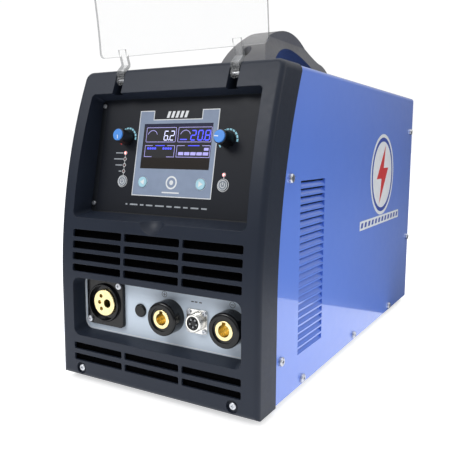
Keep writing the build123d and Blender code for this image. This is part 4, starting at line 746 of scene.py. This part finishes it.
def digit(shapes, corner, width, height, figure, stroke):
    """A seven-segment figure."""
    x, y = corner
    middle, top = y + height / 2, y + height
    strokes = {
        "a": ((x, top), (x + width, top)),
        "g": ((x, middle), (x + width, middle)),
        "d": ((x, y), (x + width, y)),
        "f": ((x, middle), (x, top)),
        "b": ((x + width, middle), (x + width, top)),
        "e": ((x, y), (x, middle)),
        "c": ((x + width, y), (x + width, middle)),
    }
    for name in SEGMENTS[figure]:
        start, end = (Vector(p) for p in strokes[name])
        step = (end - start).normalized() * SEGMENT_GAP
        start, end = start + step, end - step
        shift = [Vector((DIGIT_SLANT * (p.y - y), 0.0)) for p in (start, end)]
        shapes.line(start + shift[0], end + shift[1], stroke)


BOXES = ((-42.4, -1.2), (1.4, 45.0))
BOX_LINE = 0.55
UPPER_BOX_FOOT, UPPER_BOX_HEAD = 87.6, 104.4
LOWER_BOX_FOOT, LOWER_BOX_HEAD = 70.8, 84.0
BOX_CORNER_LENGTH = 10.5
DIGIT_FOOT = 90.0
POINT_FOOT, POINT_HEAD = 89.6, 90.7


def print_display():
    """What the display shows: two readings with gauges above two open boxes with plain bars."""
    for name, foot, head, look in (
        ("display_foot", SCREEN_FOOT, 70.0, SCREEN_WARM),
        ("display_head", 105.2, SCREEN_HEAD, SCREEN_COOL),
    ):
        tint = Shapes(on_screen, 0.0, INK)
        tint.bar((-SCREEN_HALF, foot), (SCREEN_HALF, head))
        tint.finish(name, look)

    lilac = Shapes(on_screen, INK, 2 * INK)
    foot_line, head_line = LOWER_BOX_FOOT + BOX_LINE, LOWER_BOX_HEAD - BOX_LINE
    for left, right in BOXES:
        outline_band(lilac, (left, UPPER_BOX_FOOT), (right, UPPER_BOX_HEAD), 1.2, BOX_LINE)
    for left, right in BOXES:
        for x in (left, right - BOX_LINE):
            lilac.bar((x, LOWER_BOX_FOOT), (x + BOX_LINE, LOWER_BOX_HEAD))
        for start, end in (
            (left + BOX_LINE, left + BOX_CORNER_LENGTH),
            (right - BOX_CORNER_LENGTH, right - BOX_LINE),
        ):
            lilac.bar((start, head_line), (end, LOWER_BOX_HEAD))
            lilac.bar((start, LOWER_BOX_FOOT), (end, foot_line))
    lilac.bar((11.9, LOWER_BOX_FOOT), (34.5, foot_line))
    for gauge_x in (-33.5, 11.2):
        lilac.arc((gauge_x, 94.0), 6.6, 7.2, 20, 160)
    block_pitch = 8.0
    for i in range(5):
        lilac.bar((4.2 + block_pitch * i, 73.2), (11.0 + block_pitch * i, 76.6))
    lilac.bar((37.2, 78.4), (43.0, 81.4))
    lilac.finish("display_outlines", LIT_LILAC)

    white = Shapes(on_screen, INK, 2 * INK)
    for x, figure in ((-17.4, "6"), (-9.2, "2")):
        digit(white, (x, DIGIT_FOOT), 4.8, 10.0, figure, stroke=0.95)
    white.bar((-11.4, POINT_FOOT), (-10.3, POINT_HEAD))
    white.finish("display_first_reading", LIT_WHITE)

    blue = Shapes(on_screen, INK, 2 * INK)
    for x, figure in ((18.6, "2"), (27.6, "0"), (36.8, "8")):
        digit(blue, (x, DIGIT_FOOT), 5.6, 10.4, figure, stroke=1.3)
    blue.bar((34.9, POINT_FOOT), (36.0, POINT_HEAD))
    blue.bar((4.6, DIGIT_FOOT), (13.6, 91.2))
    blocks, block_gap = 4, 0.7
    for left, right in ((-39.0, -26.0), (-17.6, -4.6)):
        width = (right - left) / blocks
        for i in range(blocks):
            blue.bar((left + width * i, 79.4), (left + width * (i + 1) - block_gap, 81.6))
    for start, end in ((-28.0, -15.0), (16.0, 31.0)):
        blue.bar((start, 83.3), (end, 84.1))
    blue.finish("display_second_reading", LIT_BLUE)


def print_keys():
    """White arrows on the arrow keys and plain marks on the round keys; they ride on the keys."""
    key_top = 1.4
    for body, x, points in (
        ("left_arrow_body", ARROW_KEYS[0], [(-3.2, 0.0), (2.2, -3.2), (2.2, 3.2)]),
        ("right_arrow_body", ARROW_KEYS[1], [(3.2, 0.0), (-2.2, 3.2), (-2.2, -3.2)]),
    ):
        arrow = Shapes(on_panel, key_top, key_top + INK)
        arrow.polygon([(x + px, KEY_ROW + py) for px, py in points])
        arrow.finish(body.replace("_body", "_mark"), INK_WHITE, body)
    for body, x in (("mode_key_body", -ROUND_KEYS_X), ("function_key_body", ROUND_KEYS_X)):
        mark = Shapes(on_panel, key_top, key_top + INK)
        mark.arc((x, KEY_ROW), 4.9, 5.4, 0, 360)
        mark.arc((x, KEY_ROW), 2.3, 2.9, 130, 410)
        mark.bar((x - 0.3, KEY_ROW), (x + 0.3, KEY_ROW + 3.4))
        mark.finish(body.replace("_body", "_mark"), INK_WHITE, body)


def print_knobs():
    """The white pointer on each knob's cap, which rides on the knob."""
    cap_top = 18.8
    for body, centre, direction, reach in (
        ("left_knob_body", KNOBS[0], (0.12, -1.0), (0.4, 4.6)),
        ("right_knob_body", KNOBS[1], (-1.0, 0.05), (1.0, 6.0)),
    ):
        pointer = Shapes(on_panel, cap_top, cap_top + INK)
        way = Vector(direction).normalized()
        start, end = (Vector(centre) + way * distance for distance in reach)
        pointer.line(start, end, 1.0)
        pointer.finish(body.replace("_body", "_pointer"), INK_WHITE, body)


def light_lamps():
    """Two of the lamps are lit: a bright core in a red ring on top of the lens."""
    lens_top, core_radius = 1.0, 0.8
    for name, place in (
        ("upper_left_lamp", (-ROUND_KEYS_X, LAMP_ROWS[-1])),
        ("right_lamp", (ROUND_KEYS_X, RIGHT_LAMP_UP)),
    ):
        glow = Shapes(on_panel, lens_top, lens_top + 0.12)
        glow.arc(place, core_radius, 1.45, 0, 360)
        glow.finish(name + "_glow", LIT_RED)
        core = Shapes(on_panel, lens_top, lens_top + 0.14)
        core.disc(place, core_radius)
        core.finish(name + "_core", LIT_CORE)


# ---- connector plate ----------------------------------------------------------------------------
def print_plate():
    """Plus and minus above the output sockets, three dashes above the control socket, and a white
    line round the plate that is a painted highlight along its edge."""
    marks = Shapes(on_plate, 0.0, INK)
    plus_x, minus_x, sign_up = 6.0, 91.4, 108.6
    stroke, arm = 0.3, 1.9
    for x in (plus_x, minus_x):
        marks.arc((x, sign_up), 2.9, 3.4, 0, 360)
        marks.bar((x - arm, sign_up - stroke), (x + arm, sign_up + stroke))
    marks.bar((plus_x - stroke, sign_up - arm), (plus_x + stroke, sign_up - stroke))
    marks.bar((plus_x - stroke, sign_up + stroke), (plus_x + stroke, sign_up + arm))
    for start in (41.0, 45.5, 51.0):
        marks.bar((start, 104.8), (start + 3.4, 106.0))
    marks.finish("plate_marks", INK_BLACK)
    # A painted highlight: a thin white band just inside the plate's edge, where the edge catches
    # the light.
    line = Shapes(on_plate, 0.0, 0.25)
    outline_band(line, (-109.6, 54.0), (109.6, 116.3), 9.0, 0.8)
    line.finish("plate_edge_highlight", INK_WHITE)


def turned_ring(name, centre, profile, material, steps=48):
    """A ring turned about a line along Y; profile is (radius, y) pairs, closed."""
    mesh = bmesh.new()
    turns = [math.tau * step / steps for step in range(steps)]
    rows = []
    for radius, y in profile:
        ring = [(radius * math.cos(turn), radius * math.sin(turn)) for turn in turns]
        rows.append([mesh.verts.new((centre[0] + x, y, centre[1] + z)) for x, z in ring])
    for i, row in enumerate(rows):
        after = rows[(i + 1) % len(rows)]
        for step in range(steps):
            j = (step + 1) % steps
            mesh.faces.new((row[step], row[j], after[j], after[step]))
    bmesh.ops.recalc_face_normals(mesh, faces=mesh.faces)
    for face in mesh.faces:
        face.smooth = True
    data = bpy.data.meshes.new(name)
    mesh.to_mesh(data)
    mesh.free()
    data.materials.append(material)
    piece = bpy.data.objects.new(name, data)
    bpy.context.scene.collection.objects.link(piece)
    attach(piece, HOUSING)


def add_control_socket_details():
    """A screw thread round the control socket's barrel and five pins in its insert."""
    low, high = (Vector(v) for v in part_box("control_socket_shell"))
    centre = ((low.x + high.x) / 2, (low.z + high.z) / 2)
    barrel = 9.5 * MM
    root, crest = barrel - 0.1 * MM, barrel + 0.35 * MM
    pitch = 1.4 * MM
    for turn in range(4):
        y = low.y + pitch + turn * pitch
        profile = [
            (root, y - 0.5 * MM),
            (crest, y - 0.12 * MM),
            (crest, y + 0.12 * MM),
            (root, y + 0.5 * MM),
        ]
        turned_ring(f"control_thread_{turn}", centre, profile, LOOKS["nickel"])
    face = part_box("control_socket_insert")[0][1]
    axis, pin_radius, pin_circle = 0.02 * MM, 1.0 * MM, 4.2 * MM
    for pin in range(5):
        turn = math.radians(54.0 + 72.0 * pin)
        place = (centre[0] + pin_circle * math.cos(turn), centre[1] + pin_circle * math.sin(turn))
        profile = [
            (axis, face + 0.5 * MM),
            (pin_radius, face + 0.5 * MM),
            (pin_radius, face - 0.6 * MM),
            (0.6 * MM, face - 1.0 * MM),
            (axis, face - 1.1 * MM),
        ]
        turned_ring(f"control_pin_{pin}", place, profile, LOOKS["steel"], steps=16)


# ---- vents, badge and the rest of the case ------------------------------------------------------
def add_vent_shade_sheets():
    """A near-black, foam-textured sheet behind the front vents: painted shade for the dark inside
    of the case seen through the slots.
    """
    for name, low, high, depth in (
        ("upper_vent_shade_sheet", (-116.0, 122.5), (116.0, 173.5), 13.0),
        ("lower_vent_shade_sheet", (-116.0, 17.0), (116.0, 43.0), 8.0),
    ):
        def behind(across, up, out, depth=depth):
            return Vector((across * MM, FRONT + (depth - out) * MM, BASE + up * MM))

        # This sheet is painted shade for the dark inside of the case behind the slots.
        vent_shade_sheet = Shapes(behind, 0.0, 3.0)
        vent_shade_sheet.bar(low, high)
        vent_shade_sheet.finish(name, VENT_SHADE_SHEET)


def print_badge():
    """The round badge with a lightning bolt, and the stripe below it, on the right side."""
    centre = (411.0, 227.0)
    badge_top = 0.12
    rim_radius, ring_radius, field_radius = 61.0, 56.0, 50.0
    round_steps = 96
    rim = Shapes(on_side, 0.0, badge_top)
    rim.arc(centre, ring_radius, rim_radius, 0, 360, round_steps)
    rim.finish("badge_rim", INK_WHITE)
    ring = Shapes(on_side, 0.0, badge_top)
    ring.arc(centre, field_radius, ring_radius, 0, 360, round_steps)
    ring.finish("badge_ring", INK_BLUE)
    field = Shapes(on_side, 0.0, badge_top)
    field.disc(centre, field_radius)
    field.finish("badge_field", INK_WHITE)
    bolt = Shapes(on_side, badge_top, 0.2)
    shape = [(12, 44), (-30, -6), (-5, -6), (-13, -44), (30, 10), (5, 10)]
    bolt.polygon([(centre[0] + x, centre[1] + z) for x, z in shape])
    bolt.finish("badge_bolt", INK_RED)
    stripe = Shapes(on_side, 0.0, badge_top)
    stripe.bar((307.0, 152.0), (514.0, 165.0))
    stripe.finish("side_stripe", INK_WHITE)
    core = Shapes(on_side, badge_top, 0.18)
    pitch = 17.0
    for i in range(12):
        core.bar((311.0 + pitch * i, 155.0), (320.0 + pitch * i, 162.0), slant=3.0)
    core.finish("side_stripe_core", INK_BLUE)


# ---- build it -----------------------------------------------------------------------------------
add_camera()
add_world()
add_floor()
add_area_light("key", (-1.1, -2.2, 2.0), (0.0, -0.1, 0.2), size=(1.4, 1.0), power=34.0)
add_area_light("side", (2.6, 0.9, 1.7), (0.0, 0.0, 0.2), size=(1.6, 1.4), power=15.0)
add_area_light("top", (0.0, 0.3, 2.6), (0.0, 0.0, 0.2), size=(2.4, 2.0), power=16.0)
dress_nodes()
print_frame()
print_dials()
print_lamp_lines()
print_symbols()
print_display()
print_keys()
print_knobs()
light_lamps()
print_plate()
add_control_socket_details()
add_vent_shade_sheets()
print_badge()
